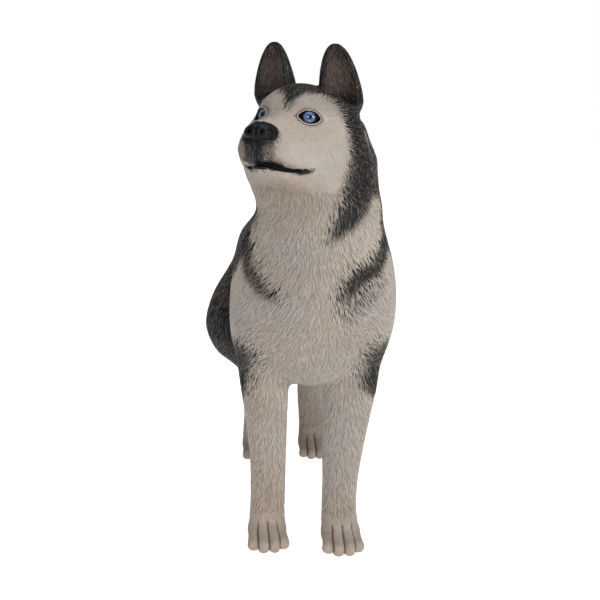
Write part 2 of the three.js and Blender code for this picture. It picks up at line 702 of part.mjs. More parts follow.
// Head: ears off, then the nose bed and the eye sockets
const earNormal = (side) => {
  const n = HEAD_AXES.side.clone().multiplyScalar(0.6 * side);
  return n.addScaledVector(HEAD_AXES.up, 0.8).toArray();
};
let head = wholeHead;
const ears = {};
for (const [name, side] of [["left", 1], ["right", -1]]) {
  const base = fromHead(EAR.forward, EAR.side * side, EAR.up + 9).toArray();
  const [rest, [ear]] = part(head, base, earNormal(side));
  head = rest;
  ears[name] = ear;
}

const noseSolid = (field, triangles) => {
  const surface = simplify(surfaceOf(field, [40, -40, -80], [120, 40, -10], NOSE_STEP), triangles, () => 1);
  const points = [];
  for (let i = 0; i < surface.points.length; i += 3) {
    points.push(...fromHead(...surface.points.slice(i, i + 3)).toArray());
  }
  return largest(solidOf({ points, faces: surface.faces }));
};
const nose = noseSolid(noseField, TRIANGLES.nose);
head = head.subtract(noseSolid((f, s, u) => noseField(f, s, u) - 3 * GAP, TRIANGLES.noseBed));
const eyes = {};
for (const [name, side] of [["left", 1], ["right", -1]]) {
  const centre = fromHead(EYE.forward, EYE.side * side, EYE.up);
  const out = HEAD_AXES.forward.clone().multiplyScalar(Math.cos(EYE.outward));
  out.addScaledVector(HEAD_AXES.side, side * Math.sin(EYE.outward));
  const turn = new THREE.Quaternion().setFromUnitVectors(new THREE.Vector3(0, 1, 0), out);
  const place = (radius) => solidFrom(
    new THREE.SphereGeometry(radius, 24, 15),
    new THREE.Matrix4().compose(centre, turn, new THREE.Vector3(1, 1, 1)),
  );
  eyes[name] = place(EYE.radius);
  head = head.subtract(place(EYE.radius + GAP));
}
head = largest(head);

// Body: tail, legs and paws off, then the neck from the torso
const tailSpace = [
  [[-21, 33], [300, 460], [130, 200]],
  [[-31, 43], [300, 460], [200, 410]],
  [[-60, 70], [300, 460], [400, 520]],
];
const foreSpace = [[[-200, 200], [-400, -60], [-20, 400]]];
const hindSpace = [[[-200, 200], [60, 460], [-20, 480]]];
const [noTail, [tail]] = part(lower, [5, 322, 400], [0, 1, 0], tailSpace);
const [noFore, foreLegs] = part(noTail, [0, 0, 276], [0, 0, -1], foreSpace);
const [noHind, hindLegs] = part(noFore, [0, 0, 283], [0, 0.27, -1], hindSpace);
const [torso, [neck]] = part(noHind, [20, -200, 545], [0, -0.42, 0.9]);
const limbs = {};
for (const [kind, pair] of [["fore", foreLegs], ["hind", hindLegs]]) {
  for (const limb of pair) {
    const name = kind + "_" + (sideOf(limb) > 15 ? "left" : "right");
    const [paw, [shank]] = part(limb, [0, 0, ANKLE], [0, 0, 1]);
    limbs[name + "_leg"] = shank;
    limbs[name + "_paw"] = paw;
  }
}

// Colours of the cast and painted pieces
const paint = (color, roughness) => new THREE.MeshStandardMaterial({ color, roughness, metalness: 0 });
const COAT_PALE = "#b5aa9c";
const COAT_DARK = "#3a3634";
const COAT_LEG = "#a89a88";
const NOSE_BLACK = "#0d0c0c";
const EYE_BLUE = "#5f82b8";

const group = new THREE.Group();
group.name = "husky_statue";
function add(name, solid, material) {
  const mesh = solid.translate(MIDDLE.map((v) => -v)).getMesh();
  const geometry = new THREE.BufferGeometry();
  const positions = new Float32Array((mesh.vertProperties.length / mesh.numProp) * 3);
  for (let i = 0; i < positions.length / 3; i++) {
    for (let k = 0; k < 3; k++) positions[i * 3 + k] = mesh.vertProperties[i * mesh.numProp + k];
  }
  geometry.setAttribute("position", new THREE.BufferAttribute(positions, 3));
  geometry.setIndex(new THREE.BufferAttribute(new Uint32Array(mesh.triVerts), 1));
  const node = new THREE.Mesh(geometry, material);
  node.name = name;
  group.add(node);
}

add("torso", torso, paint(COAT_PALE, 0.7));
add("neck", neck, paint(COAT_PALE, 0.7));
add("head", head, paint(COAT_PALE, 0.65));
add("tail", tail, paint(COAT_DARK, 0.7));
add("nose", nose, paint(NOSE_BLACK, 0.25));
for (const side of ["left", "right"]) {
  add("ear_" + side, ears[side], paint(COAT_DARK, 0.65));
  add("eye_" + side, eyes[side], paint(EYE_BLUE, 0.12));
}
for (const [name, solid] of Object.entries(limbs)) add(name, solid, paint(COAT_LEG, 0.7));

export default group;
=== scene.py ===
"""Life-size husky statue: carved and painted casting on a pale floor.

The shape is worked out in millimetres in the dog's own frame, facing -Y, and
moved to the frame of the solids when a mesh is made.
"""

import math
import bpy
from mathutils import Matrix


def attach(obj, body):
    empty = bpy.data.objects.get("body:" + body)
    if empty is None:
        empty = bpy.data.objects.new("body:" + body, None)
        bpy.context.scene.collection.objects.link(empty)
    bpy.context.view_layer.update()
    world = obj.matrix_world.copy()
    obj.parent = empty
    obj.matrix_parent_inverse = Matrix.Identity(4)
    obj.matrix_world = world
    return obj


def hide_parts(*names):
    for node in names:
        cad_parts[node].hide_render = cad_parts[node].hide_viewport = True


bl_info = {
    "name": "Husky statue",
    "version": (1, 0, 0),
    "blender": (4, 5, 0),
    "location": "View3D > Sidebar > Husky",
    "description": "Builds the carved and painted husky statue",
    "category": "Add Mesh",
}

import bpy
import numpy as np
from mathutils import Matrix, Vector

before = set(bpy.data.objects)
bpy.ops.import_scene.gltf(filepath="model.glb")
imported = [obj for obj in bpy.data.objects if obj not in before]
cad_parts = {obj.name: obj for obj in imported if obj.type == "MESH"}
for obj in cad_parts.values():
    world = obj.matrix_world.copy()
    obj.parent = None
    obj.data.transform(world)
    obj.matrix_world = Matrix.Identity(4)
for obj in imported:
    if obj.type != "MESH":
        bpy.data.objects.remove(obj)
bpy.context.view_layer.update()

# Shape sizes, as in the solids
MIDDLE = np.array([8.0, 22.2, 0.0])
HEAD_AT = np.array([-33.0, -263.0, 749.0])
HEAD_TURN = {"yaw": 32.0, "pitch": 13.5, "roll": -1.5}
EYE = {"forward": -8.6, "side": 34.8, "up": -3, "radius": 19, "outward": 33, "arc": 21.2, "offset": 10.4}
NOSE = {"forward": 86, "up": -43, "length": 17, "half_width": 25, "half_height": 15}
MOUTH = {"front_up": -88, "corner_up": -88, "sag": 5, "front": 80, "corner": 7, "depth": 4.5, "width": 3}
EAR = {"forward": -68, "side": 63, "up": 38, "tip_forward": -42, "tip_up": 128, "half_width": 38}
EAR_SIDES = {"left": (52, 16), "right": (60, 6)}
FORE_PAW = (71, 92)
HIND_PAW = (66, 86)

# Upright rows: z, centre x, centre y, half width, half depth
NECK_ROWS = [
    (400, 21, -222, 84, 70), (440, 21, -217, 102, 92), (480, 22, -208, 110, 105),
    (520, 23, -198, 112, 110), (560, 26, -193, 111, 105), (593, 29, -196, 106, 98),
    (623, 23, -200, 106, 92), (650, 20, -203, 106, 88), (673, 21, -205, 103, 86),
    (700, 19, -206, 94, 82), (735, 14, -207, 84, 74), (768, 6, -210, 56, 50), (784, 2, -212, 20, 18),
]
FORE_RIGHT_ROWS = [
    (6, -62, -206, 26, 26), (24, -62, -203, 30, 30), (56, -61.5, -197, 30, 29), (96, -60, -194, 30, 29),
    (149, -59.5, -191, 31, 32), (225, -61.5, -185, 36.5, 39), (276, -63.5, -180, 41.5, 46),
    (330, -64.5, -177, 46.5, 55), (380, -66, -180, 50, 60), (430, -62, -190, 46, 56),
]
FORE_LEFT_ROWS = [
    (6, 63, -238, 27, 26), (24, 63, -235, 31, 30), (66, 61, -226, 30, 30), (117, 64.3, -218, 30.8, 30),
    (175, 70.6, -206, 36.6, 36), (234, 79.5, -193, 42.5, 41), (273, 85, -186, 47, 48),
    (330, 88, -180, 51, 55),
    (380, 88, -182, 50, 60), (430, 88, -190, 46, 56),
]
# Hind rows: z, centre x of the right leg and of the left leg, centre y, half width, half depth
HIND_ROWS = [
    (6, -36, 82, 308, 25, 25), (24, -37, 81, 312, 29, 30), (60, -38.5, 80, 316, 27, 27),
    (90, -37, 78.5, 317, 27, 26), (120, -39.5, 77, 317, 27, 27), (150, -43, 76, 314, 27, 32),
    (172, -45, 75, 302, 28, 41), (195, -46, 76.5, 277, 31, 47), (215, -54, 80.5, 250, 35, 50),
    (235, -69, 85, 226, 39, 55), (254, -81.5, 92, 208, 44, 64), (279, -89, 99, 195, 50, 76),
    (305, -93, 103, 191, 54, 85), (330, -90, 100, 198, 55, 93), (367, -77, 87, 211, 54, 99),
    (408, -57, 67, 221, 48, 98), (446, -41, 51, 227, 40, 92), (490, -33, 43, 233, 30, 72),
    (516, -24, 34, 232, 12, 44),
]
TAIL_ROWS = [
    (150, 6, 338, 8, 9), (165, 6, 342, 17, 18), (200, 6, 352, 25, 26), (260, 6, 366, 32, 33),
    (320, 6, 372, 35, 35), (380, 5, 364, 34, 33), (430, 5, 344, 31, 32), (470, 5, 318, 30, 36),
    (494, 5, 296, 27, 34), (510, 5, 268, 18, 26),
]
# Lying rows: y, top, bottom, centre x, half width
TORSO_ROWS = [
    (-225, 522, 312, 21, 98), (-185, 560, 285, 20, 123), (-140, 570, 281, 20, 126),
    (-70, 566, 283, 17, 122), (0, 557, 293, 13, 115), (70, 554, 313, 9, 101), (130, 554, 332, 7, 91),
    (190, 550, 348, 5, 85), (235, 541, 356, 5, 80), (270, 526, 368, 5, 70), (298, 504, 385, 5, 54),
    (318, 475, 410, 5, 32),
]


# Distances, negative inside

def smooth_min(a, b, k):
    h = np.maximum(k - np.abs(a - b), 0.0)
    return np.minimum(a, b) - h * h / (4 * k)


def smooth_max(a, b, k):
    return -smooth_min(-a, -b, k)


def smooth_step(low, high, value):
    t = np.clip((value - low) / (high - low), 0.0, 1.0)
    return t * t * (3 - 2 * t)


def ridge(t):
    return np.exp(-t * t)


def ellipse(x, y, a, b):
    x = x + 1e-6
    k0 = np.hypot(x / a, y / b)
    k1 = np.hypot(x / (a * a), y / (b * b))
    return k0 * (k0 - 1) / np.maximum(k1, 1e-9)


def squarish(x, y, a, b):
    px = np.abs(x / a)
    py = np.abs(y / b)
    k = np.maximum(np.cbrt(px ** 3 + py ** 3), 1e-6)
    return (k - 1) * k * k / np.maximum(np.hypot(px * px / a, py * py / b), 1e-9)


def ellipsoid(x, y, z, centre, radii):
    px, py, pz = ((v - c) / r for v, c, r in zip((x, y, z), centre, radii))
    k0 = np.sqrt(px * px + py * py + pz * pz)
    k1 = np.sqrt((px / radii[0]) ** 2 + (py / radii[1]) ** 2 + (pz / radii[2]) ** 2)
    return k0 * (k0 - 1) / np.maximum(k1, 1e-9)


def round_cone(x, y, z, a, b, radius_a, radius_b):
    ab = np.subtract(b, a)
    px, py, pz = x - a[0], y - a[1], z - a[2]
    t = np.clip((px * ab[0] + py * ab[1] + pz * ab[2]) / (ab @ ab), 0, 1)
    away = np.sqrt((px - t * ab[0]) ** 2 + (py - t * ab[1]) ** 2 + (pz - t * ab[2]) ** 2)
    return away - (radius_a + (radius_b - radius_a) * t)


class Column:
    """A smooth curve through rows of sections, kept as a fine table."""

    def __init__(self, rows):
        rows = np.array(rows, float)
        last = len(rows) - 1
        before = rows[np.maximum(np.arange(last + 1) - 1, 0)]
        after = rows[np.minimum(np.arange(last + 1) + 1, last)]
        slopes = (after[:, 1:] - before[:, 1:]) / (after[:, :1] - before[:, :1])
        self.levels = np.linspace(rows[0, 0], rows[-1, 0], 600)
        i = np.clip(np.searchsorted(rows[:, 0], self.levels, side="right") - 1, 0, last - 1)
        span = (rows[i + 1, 0] - rows[i, 0])[:, None]
        u = (self.levels - rows[i, 0])[:, None] / span
        self.table = ((2 * u ** 3 - 3 * u ** 2 + 1) * rows[i, 1:]
                      + (u ** 3 - 2 * u ** 2 + u) * span * slopes[i]
                      + (3 * u ** 2 - 2 * u ** 3) * rows[i + 1, 1:]
                      + (u ** 3 - u ** 2) * span * slopes[i + 1])

    def at(self, level):
        t = np.clip(level, self.levels[0], self.levels[-1])
        values = [np.interp(t, self.levels, self.table[:, k]) for k in range(4)]
        return values, np.abs(level - t)


def capped(side, over):
    beyond = np.where(side > 0, np.hypot(side, over), over)
    return np.where(over == 0, side, beyond)


def upright(x, y, z, column):
    (cx, cy, rx, ry), over = column.at(z)
    return capped(0.92 * ellipse(x - cx, y - cy, rx, ry), over)


def lying(x, y, z, column):
    (top, bottom, cx, rx), over = column.at(y)
    middle = (top + bottom) / 2
    return capped(0.92 * ellipse(x - cx, z - middle, rx, top - middle), over)


def head_axes():
    yaw, pitch, roll = (math.radians(HEAD_TURN[k]) for k in ("yaw", "pitch", "roll"))
    forward = np.array([
        -math.sin(yaw) * math.cos(pitch), -math.cos(yaw) * math.cos(pitch), math.sin(pitch)])
    side = np.array([math.cos(yaw), -math.sin(yaw), 0.0])
    side = side * math.cos(roll) + np.cross(forward, side) * math.sin(roll)
    return np.array([forward, side, np.cross(forward, side)])


HEAD_AXES = head_axes()


def to_head(points):
    return (points - HEAD_AT) @ HEAD_AXES.T


def from_head(f, s, u):
    return HEAD_AT + np.array([f, s, u]) @ HEAD_AXES


def nose_field(f, s, u):
    away = np.abs(s)
    n = NOSE
    at, up = n["forward"], n["up"]
    d = ellipsoid(f, s, u, (at, 0, up), (n["length"], n["half_width"] - 2, n["half_height"]))
    d = smooth_min(d, ellipsoid(f, s, u, (at - 3, 0, up - 12), (14, 14, 12)), 8)
    d = smooth_min(d, ellipsoid(f, away, u, (at, 14, up - 3), (14, 11, 11)), 4)
    bore = round_cone(f, away, u, (at + 16, 10.5, up - 1), (at - 1, 15, up - 5), 3.2, 2.4)
    d = smooth_max(d, -bore, 2.5)
    slit = round_cone(f, away, u, (at + 8, 17, up - 4), (at - 8, 28, up - 1), 2, 1.6)
    d = smooth_max(d, -slit, 2)
    return d + 2.2 * ridge(s / 2.2) * np.clip((f - at) / 8, 0, 1)


def ear_parts(f, away, u, tip_side, turn):
    """Outer leaf and cup of one ear, with the place along and across it."""
    turn = math.radians(turn)
    tall = EAR["tip_up"] - EAR["up"] + 30
    t = (u - EAR["up"] + 30) / tall
    k = (u - EAR["up"]) / (EAR["tip_up"] - EAR["up"])
    ds = away - EAR["side"] - (tip_side - EAR["side"]) * k
    df = f - EAR["forward"] - (EAR["tip_forward"] - EAR["forward"]) * k
    across = ds * math.cos(turn) - df * math.sin(turn)
    out = ds * math.sin(turn) + df * math.cos(turn)
    tt = np.clip(t, 0, 1)
    taper = np.sqrt(np.maximum(0, 1 - tt ** 2.2))
    spread = 1 - (1 - np.minimum(1, tt * 2.2)) ** 2
    root = np.sqrt(np.maximum(0.02, 1 - np.maximum(0, (0.3 - t) / 0.32) ** 2))
    half = (EAR["half_width"] * (0.55 + 0.45 * spread) * taper + 0.5) * root
    back = ((60 - 52 * tt) * taper + 2) * root
    front = (22 - 12 * tt) * taper + 2
    side = np.where(out > 0, ellipse(across, out, half, front), squarish(across, out, half, back))
    outer = np.maximum(side, np.maximum(t - 1, -t) * tall)
    floor = (0.25 - t) * tall * 0.6 - across * 0.12
    cup_half = np.maximum(1, half * 0.9 - 4.5)
    cup = np.maximum(ellipse(across, out - front * 0.62 - 4, cup_half, front * 1.1), floor)
    return outer, cup, t


def ear_field(f, s, u):
    away = np.abs(s)
    result = np.empty_like(f)
    for side, chosen in (("left", s > 0), ("right", s <= 0)):
        if chosen.any():
            outer, cup, _ = ear_parts(f[chosen], away[chosen], u[chosen], *EAR_SIDES[side])
            result[chosen] = smooth_max(outer, -cup, 3.5)
    return result


def skull_field(f, s, u):
    away = np.abs(s)
    d = ellipsoid(f, s, u, (-54, 0, -6), (62, 74, 67))
    d = smooth_min(d, ellipsoid(f, away, u, (-24, 29.5, 8), (27, 24, 20)), 20)
    d = smooth_min(d, ellipsoid(f, away, u, (-34, 42, -54), (56, 43, 44)), 30)
    d = smooth_min(d, ellipsoid(f, away, u, (-72, 52, -66), (50, 44, 58)), 26)
    muzzle = round_cone(f, s, u, (-10, 0, -42), (68, 0, -54), 46, 30)
    muzzle = smooth_min(muzzle, round_cone(f, away, u, (-6, 27, -60), (62, 20, -69), 36, 23), 18)
    d = smooth_min(d, muzzle, 34)
    d = smooth_min(d, round_cone(f, s, u, (-18, 0, -22), (74, 0, -43), 24, 18), 14)
    jaw = round_cone(f, s, u, (-20, 0, -90), (56, 0, -91), 30, 16)
    jaw = smooth_min(jaw, round_cone(f, away, u, (-25, 30, -89), (50, 8.5, -91), 27, 14), 10)
    return smooth_min(d, jaw, 7)


def mouth_line(f):
    along = (f - MOUTH["corner"]) / (MOUTH["front"] - MOUTH["corner"])
    straight = MOUTH["corner_up"] + (MOUTH["front_up"] - MOUTH["corner_up"]) * along
    return straight - 4 * MOUTH["sag"] * along * (1 - along)


def eye_places(f, s, u):
    """Across, out and up from an eye's centre, and the distance from its almond opening."""
    turn = math.radians(EYE["outward"])
    df = f - EYE["forward"]
    ds = np.abs(s) - EYE["side"]
    across = -df * math.sin(turn) + ds * math.cos(turn)
    out = df * math.cos(turn) + ds * math.sin(turn)
    rise = u - EYE["up"]
    low = np.hypot(across, rise + EYE["offset"])
    high = np.hypot(across, rise - EYE["offset"])
    almond = np.maximum(low, high) - EYE["arc"]
    return across, out, rise, almond


def head_field(points):
    f, s, u = to_head(points).T
    d = skull_field(f, s, u)
    line = mouth_line(f)
    d = d + MOUTH["depth"] * ridge((u - line) / MOUTH["width"]) * np.clip((f - MOUTH["corner"]) / 5, 0, 1)
    d = d + np.where(u > line, 2 * ridge(s / 2.4) * np.clip((f - 78) / 6, 0, 1), 0)
    across, out, rise, almond = eye_places(f, s, u)
    ball = np.sqrt(across ** 2 + rise ** 2 + out ** 2) - EYE["radius"]
    lids = smooth_min(d, np.maximum(ball - 2, almond - 3.4), 5)
    lids = lids + np.where(out > 0, 1.1 * ridge((almond - 4.6) / 2.2), 0)
    lids = smooth_max(lids, -np.maximum(almond, -out), 1.5)
    d = np.where(out > -6, lids, d)
    high = np.nonzero((u > -20) & (f < 30))[0]
    d[high] = smooth_min(d[high], ear_field(f[high], s[high], u[high]), 7)
    return d


def paw_field(x, y, z, at, size):
    width, length = size
    lx = x - at[0]
    ly = y - at[1]
    d = None
    for place in (-1.5, -0.5, 0.5, 1.5):
        inner = abs(place) < 1
        tx = math.copysign(width * (0.138 if inner else 0.372), place)
        ty = -length * (0.2 if inner else 0.08)
        r = width * (0.15 if inner else 0.128)
        knuckle = (tx * 0.86, ty + length * 0.2, 34 if inner else 28)
        toe = round_cone(lx, ly, z, knuckle, (tx, ty - length * 0.16, 17), r, r)
        tip = round_cone(lx, ly, z, (tx, ty - length * 0.17, 13), (tx, ty - length * 0.03, 9), r * 0.98, r)
        toe = smooth_min(toe, tip, 4)
        d = toe if d is None else smooth_min(d, toe, 7)
    back = ellipsoid(lx, ly, z, (0, length * 0.22, 24), (width * 0.43, length * 0.29, 28))
    return smooth_min(d, back, 6)


def hind_rows(place):
    return [(row[0], row[1 + place], *row[3:]) for row in HIND_ROWS]


NECK = Column(NECK_ROWS)
TORSO = Column(TORSO_ROWS)
TAIL = Column(TAIL_ROWS)
LEGS = [
    {"box": (-140, -10, -330, -90, 470), "blend": 18,
     "shape": Column(FORE_RIGHT_ROWS), "paw": ((-64, -227), FORE_PAW)},
    {"box": (10, 150, -330, -90, 470), "blend": 18,
     "shape": Column(FORE_LEFT_ROWS), "paw": ((62, -256), FORE_PAW)},
    {"box": (-170, 5, 90, 380, 580), "blend": 28,
     "shape": Column(hind_rows(0)), "paw": ((-38, 284), HIND_PAW)},
    {"box": (5, 175, 90, 380, 580), "blend": 28,
     "shape": Column(hind_rows(1)), "paw": ((81, 284), HIND_PAW)},
]


def coat_depth(points):
    """How far the skin lies under the tips of the carved hair."""
    head = to_head(points)
    face = smooth_step(-95, -60, head[:, 0]) * smooth_step(-120, -95, head[:, 2])
    ears = smooth_step(30, 45, head[:, 2])
    paws = 1 - smooth_step(40, 70, points[:, 2])
    return 0.8 * (1 - np.maximum(np.maximum(face, ears), paws))


def dog_field(points):
    x, y, z = points.T
    d = lying(x, y, z, TORSO)
    d = smooth_min(d, ellipsoid(x, y, z, (21, -190, 420), (118, 112, 134)), 30)
    d = smooth_min(d, ellipsoid(np.abs(x - 21), y, z, (90, -185, 425), (51, 78, 112)), 24)
    d = smooth_min(d, upright(x, y, z, NECK), 46)
    for leg in LEGS:
        x0, x1, y0, y1, top = leg["box"]
        dx = np.maximum(np.maximum(x0 - x, x - x1), 0)
        dy = np.maximum(np.maximum(y0 - y, y - y1), 0)
        near = np.nonzero((np.sqrt(dx * dx + dy * dy + np.maximum(0, z - top) ** 2) <= 40) & (z < 620))[0]
        if len(near) == 0:
            continue
        limb = upright(x[near], y[near], z[near], leg["shape"])
        low = np.nonzero(z[near] < 110)[0]
        paw = paw_field(x[near][low], y[near][low], z[near][low], *leg["paw"])
        limb[low] = smooth_min(limb[low], paw, 12)
        d[near] = smooth_min(d[near], limb, leg["blend"])
    rear = np.nonzero((y > 200) & (z < 620))[0]
    d[rear] = smooth_min(d[rear], upright(x[rear], y[rear], z[rear], TAIL), 14)
    high = np.nonzero((z > 480) & (y < -40))[0]
    d[high] = smooth_min(d[high], head_field(points[high]), 14)
    return d


def skin_field(points):
    d = dog_field(points) + coat_depth(points)
    low = np.nonzero(points[:, 2] < 58)[0]
    d[low] += 1.8 * toe_grooves(points[low])
    return smooth_max(d, -points[:, 2], 1.2)


# Surfaces

def surface_of(field, low, high, step, block=6):
    """Quads of a field's surface, one point in each cell that it crosses."""
    low = np.array(low, float)
    reach = step * block
    count = np.ceil((np.array(high) - low) / reach).astype(int)
    size = count * block + 1
    axes = [low[k] + reach * (np.arange(count[k]) + 0.5) for k in range(3)]
    centres = np.stack(np.meshgrid(*axes, indexing="ij"), -1).reshape(-1, 3)
    middle = field(centres)
    near = np.abs(middle) < reach * 1.25 + step
    sign = np.where(middle < 0, -100, 100).astype(np.float32).reshape(count)
    grid = np.full(tuple(size), 100, np.float32)
    grid[:-1, :-1, :-1] = sign.repeat(block, 0).repeat(block, 1).repeat(block, 2)
    blocks = np.argwhere(near.reshape(count))
    steps = np.arange(block + 1)
    offsets = np.stack(np.meshgrid(steps, steps, steps, indexing="ij"), -1).reshape(-1, 3)
    for start in range(0, len(blocks), 1500):
        cells = (blocks[start:start + 1500, None, :] * block + offsets[None]).reshape(-1, 3)
        grid[tuple(cells.T)] = field(low + cells * step)
    for axis in range(3):
        edge = [slice(None)] * 3
        for end in (0, -1):
            edge[axis] = end
            grid[tuple(edge)] = np.maximum(grid[tuple(edge)], step / 2)
    inside = grid < 0
    corners = [(i, j, k) for i in (0, 1) for j in (0, 1) for k in (0, 1)]
    held = np.zeros(tuple(size - 1), np.uint8)
    for i, j, k in corners:
        held += inside[i:size[0] - 1 + i, j:size[1] - 1 + j, k:size[2] - 1 + k]
    cells = np.argwhere((held > 0) & (held < 8))
    ids = np.full(tuple(size - 1), -1, np.int32)
    ids[tuple(cells.T)] = np.arange(len(cells))
    values = np.stack([grid[tuple((cells + c).T)] for c in corners], 1).astype(float)
    total = np.zeros((len(cells), 3))
    crossings = np.zeros(len(cells))
    for a in range(8):
        for bit in (1, 2, 4):
            if a & bit:
                continue
            b = a | bit
            crossed = (values[:, a] < 0) != (values[:, b] < 0)
            t = np.where(crossed, values[:, a] / np.where(crossed, values[:, a] - values[:, b], 1), 0)
            place = np.array(corners[a]) + t[:, None] * np.subtract(corners[b], corners[a])
            total += place * crossed[:, None]
            crossings += crossed
    points = low + (cells + total / crossings[:, None]) * step
    quads = []
    for axis in range(3):
        here = [slice(None)] * 3
        there = [slice(None)] * 3
        here[axis] = slice(0, -1)
        there[axis] = slice(1, None)
        edges = np.argwhere(inside[tuple(here)] != inside[tuple(there)])
        p, q = (axis + 1) % 3, (axis + 2) % 3
        edges = edges[(edges[:, p] > 0) & (edges[:, q] > 0)]
        ring = []
        for dp, dq in ((1, 1), (0, 1), (0, 0), (1, 0)):
            cell = edges.copy()
            cell[:, p] -= dp
            cell[:, q] -= dq
            ring.append(ids[tuple(cell.T)])
        quad = np.stack(ring, 1)
        solid = inside[tuple(edges.T)]
        quad[~solid] = quad[~solid][:, ::-1]
        quads.append(quad)
    return points, np.concatenate(quads)


def gradient_of(field, points, step=0.4):
    grad = np.empty_like(points)
    for k in range(3):
        move = np.zeros(3)
        move[k] = step
        grad[:, k] = (field(points + move) - field(points - move)) / (2 * step)
    return grad


def settled(field, points, rounds=2, limit=2.5):
    """Points moved onto the field's surface, with the normals there."""
    for _ in range(rounds):
        grad = gradient_of(field, points)
        size = np.maximum((grad * grad).sum(1), 0.05)
        move = grad * (field(points) / size)[:, None]
        away = np.linalg.norm(move, axis=1)
        points = points - move * np.minimum(1, limit / np.maximum(away, 1e-9))[:, None]
    grad = gradient_of(field, points)
    return points, grad / np.maximum(np.linalg.norm(grad, axis=1), 1e-9)[:, None]


def refined(points, triangles, chosen):
    """The chosen triangles cut in four, and their neighbours cut to match."""
    n = len(points)
    pairs = np.sort(triangles[:, [[0, 1], [1, 2], [2, 0]]], axis=2).reshape(-1, 2).astype(np.int64)
    unique, inverse = np.unique(pairs[:, 0] * n + pairs[:, 1], return_inverse=True)
    inverse = inverse.reshape(-1, 3)
    marked = np.zeros(len(unique), bool)
    marked[inverse[chosen]] = True
    ends = np.stack([unique // n, unique % n], 1)[marked]
    middles = np.cumsum(marked) - 1 + n
    points = np.concatenate([points, points[ends].mean(1)])
    flags = marked[inverse]
    new = middles[inverse]
    code = flags @ np.array([1, 2, 4])
    result = [triangles[code == 0]]
    k = code == 7
    (a, b, c), (ab, bc, ca) = triangles[k].T, new[k].T
    result += [np.stack(t, 1) for t in ((a, ab, ca), (ab, b, bc), (ca, bc, c), (ab, bc, ca))]
    for turn in range(3):
        order = [turn, (turn + 1) % 3, (turn + 2) % 3]
        k = code == 1 << turn
        (a, b, c), ab = triangles[k][:, order].T, new[k][:, turn]
        result += [np.stack(t, 1) for t in ((a, ab, c), (ab, b, c))]
        k = code == (1 << turn) + (1 << (turn + 1) % 3)
        (a, b, c), (ab, bc, _) = triangles[k][:, order].T, new[k][:, order].T
        result += [np.stack(t, 1) for t in ((a, ab, c), (ab, bc, c), (ab, b, bc))]
    return points, np.concatenate(result)


# Markings: points are in the dog's frame, in millimetres

# Head frame rows: forward, side, up, half width, strength
STRIPE_LEFT = [
    (-60, 86, 24, 23, 1), (-68, 97, -5, 26, 1), (-76, 103, -36, 31, 1), (-81, 106, -66, 36, 1),
    (-83, 106, -92, 37, 1), (-78, 102, -122, 31, 0.95), (-66, 95, -152, 23, 0.9),
    (-58, 88, -170, 16, 0.75),
    (-48, 78, -192, 12, 0.35),
]
STRIPE_RIGHT = [
    (-60, -86, 24, 22, 1), (-72, -97, -5, 26, 1), (-84, -99, -40, 30, 1), (-88, -93, -80, 30, 1),
    (-78, -80, -120, 25, 1), (-64, -68, -150, 18, 0.8), (-48, -52, -176, 12, 0.45),
]
PALE_BAND = [
    (-112, 106, 6, 9, 0), (-122, 113, -30, 10, 0.8), (-128, 117, -70, 9, 0.5),
    (-120, 122, -118, 10, 0.6), (-104, 120, -146, 11, 0.4),
]
SMUDGE = [(6, 3, 22, 15, 0.6), (15, 8, 6, 11, 0.4), (18, 8, -8, 8, 0.0)]
SIDE_SMUDGE = [(18, -6, 6, 8, 0.3), (12, -20, 12, 8, 0.15)]
# Dog frame rows: x, y, z, half width, strength
COLLAR_LEFT = [
    (134, -222, 552, 18, 1), (126, -251, 527, 18, 1), (110, -275, 504, 17, 1), (85, -295, 497, 19, 0.95),
    (67, -307, 483, 19, 0.85), (56, -312, 464, 20, 0.65), (42, -315, 455, 18, 0.3),
]
COLLAR_RIGHT = [
    (-99, -205, 552, 17, 0.9), (-93, -230, 532, 19, 0.85), (-93, -242, 509, 19, 0.8),
    (-86, -259, 491, 19, 0.75),
    (-72, -278, 471, 18, 0.7), (-54, -292, 461, 17, 0.55), (-38, -302, 451, 14, 0.25),
]
CHEST_STROKES = [
    (112, -280, 476, 34, 0.45), (85, -300, 460, 38, 0.5), (66, -307, 440, 34, 0.42),
    (60, -308, 420, 24, 0.2),
]
CAP_EDGE = ([0, 6, 12, 22, 40, 53, 67, 79, 92, 110], [18, 24, 32, 40, 43, 38, 30, 20, 2, -20])
MANE_LEFT = (
    [380, 400, 440, 470, 500, 533, 560, 590, 620, 650, 700, 800],
    [-118, -135, -160, -178, -206, -238, -240, -236, -226, -200, -186, -180],
)
MANE_RIGHT = (
    [380, 400, 440, 470, 493, 515, 541, 563, 600, 640, 700, 800],
    [-118, -135, -160, -182, -210, -224, -230, -212, -202, -190, -180, -180],
)
SADDLE_EDGE = (
    [-200, -150, -120, -60, 0, 60, 100, 130, 170, 210, 250, 300, 340],
    [430, 420, 392, 348, 336, 322, 284, 230, 205, 195, 190, 186, 184],
)
# Inner edge of the forelegs' dark cuffs: levels, then angles from the front, right and left
CUFF_LEVELS = [225, 245, 262, 280, 315, 345, 365, 385]
CUFF_EDGES = ([105, 74, 46, 24, 2, -8, -6, 10], [105, 74, 42, 4, -18, -14, -10, 4])


def band(points, rows):
    """A soft band round a path, 1 in its middle."""
    rows = np.array(rows, float)
    mask = np.zeros(len(points))
    for a, b in zip(rows[:-1], rows[1:]):
        step = b[:3] - a[:3]
        t = np.clip(((points - a[:3]) @ step) / (step @ step), 0, 1)
        away = np.linalg.norm(points - a[:3] - t[:, None] * step, axis=1)
        width = a[3] + (b[3] - a[3]) * t
        strength = a[4] + (b[4] - a[4]) * t
        mask = np.maximum(mask, strength * (1 - smooth_step(0.25, 1.5, away / width)))
    return mask


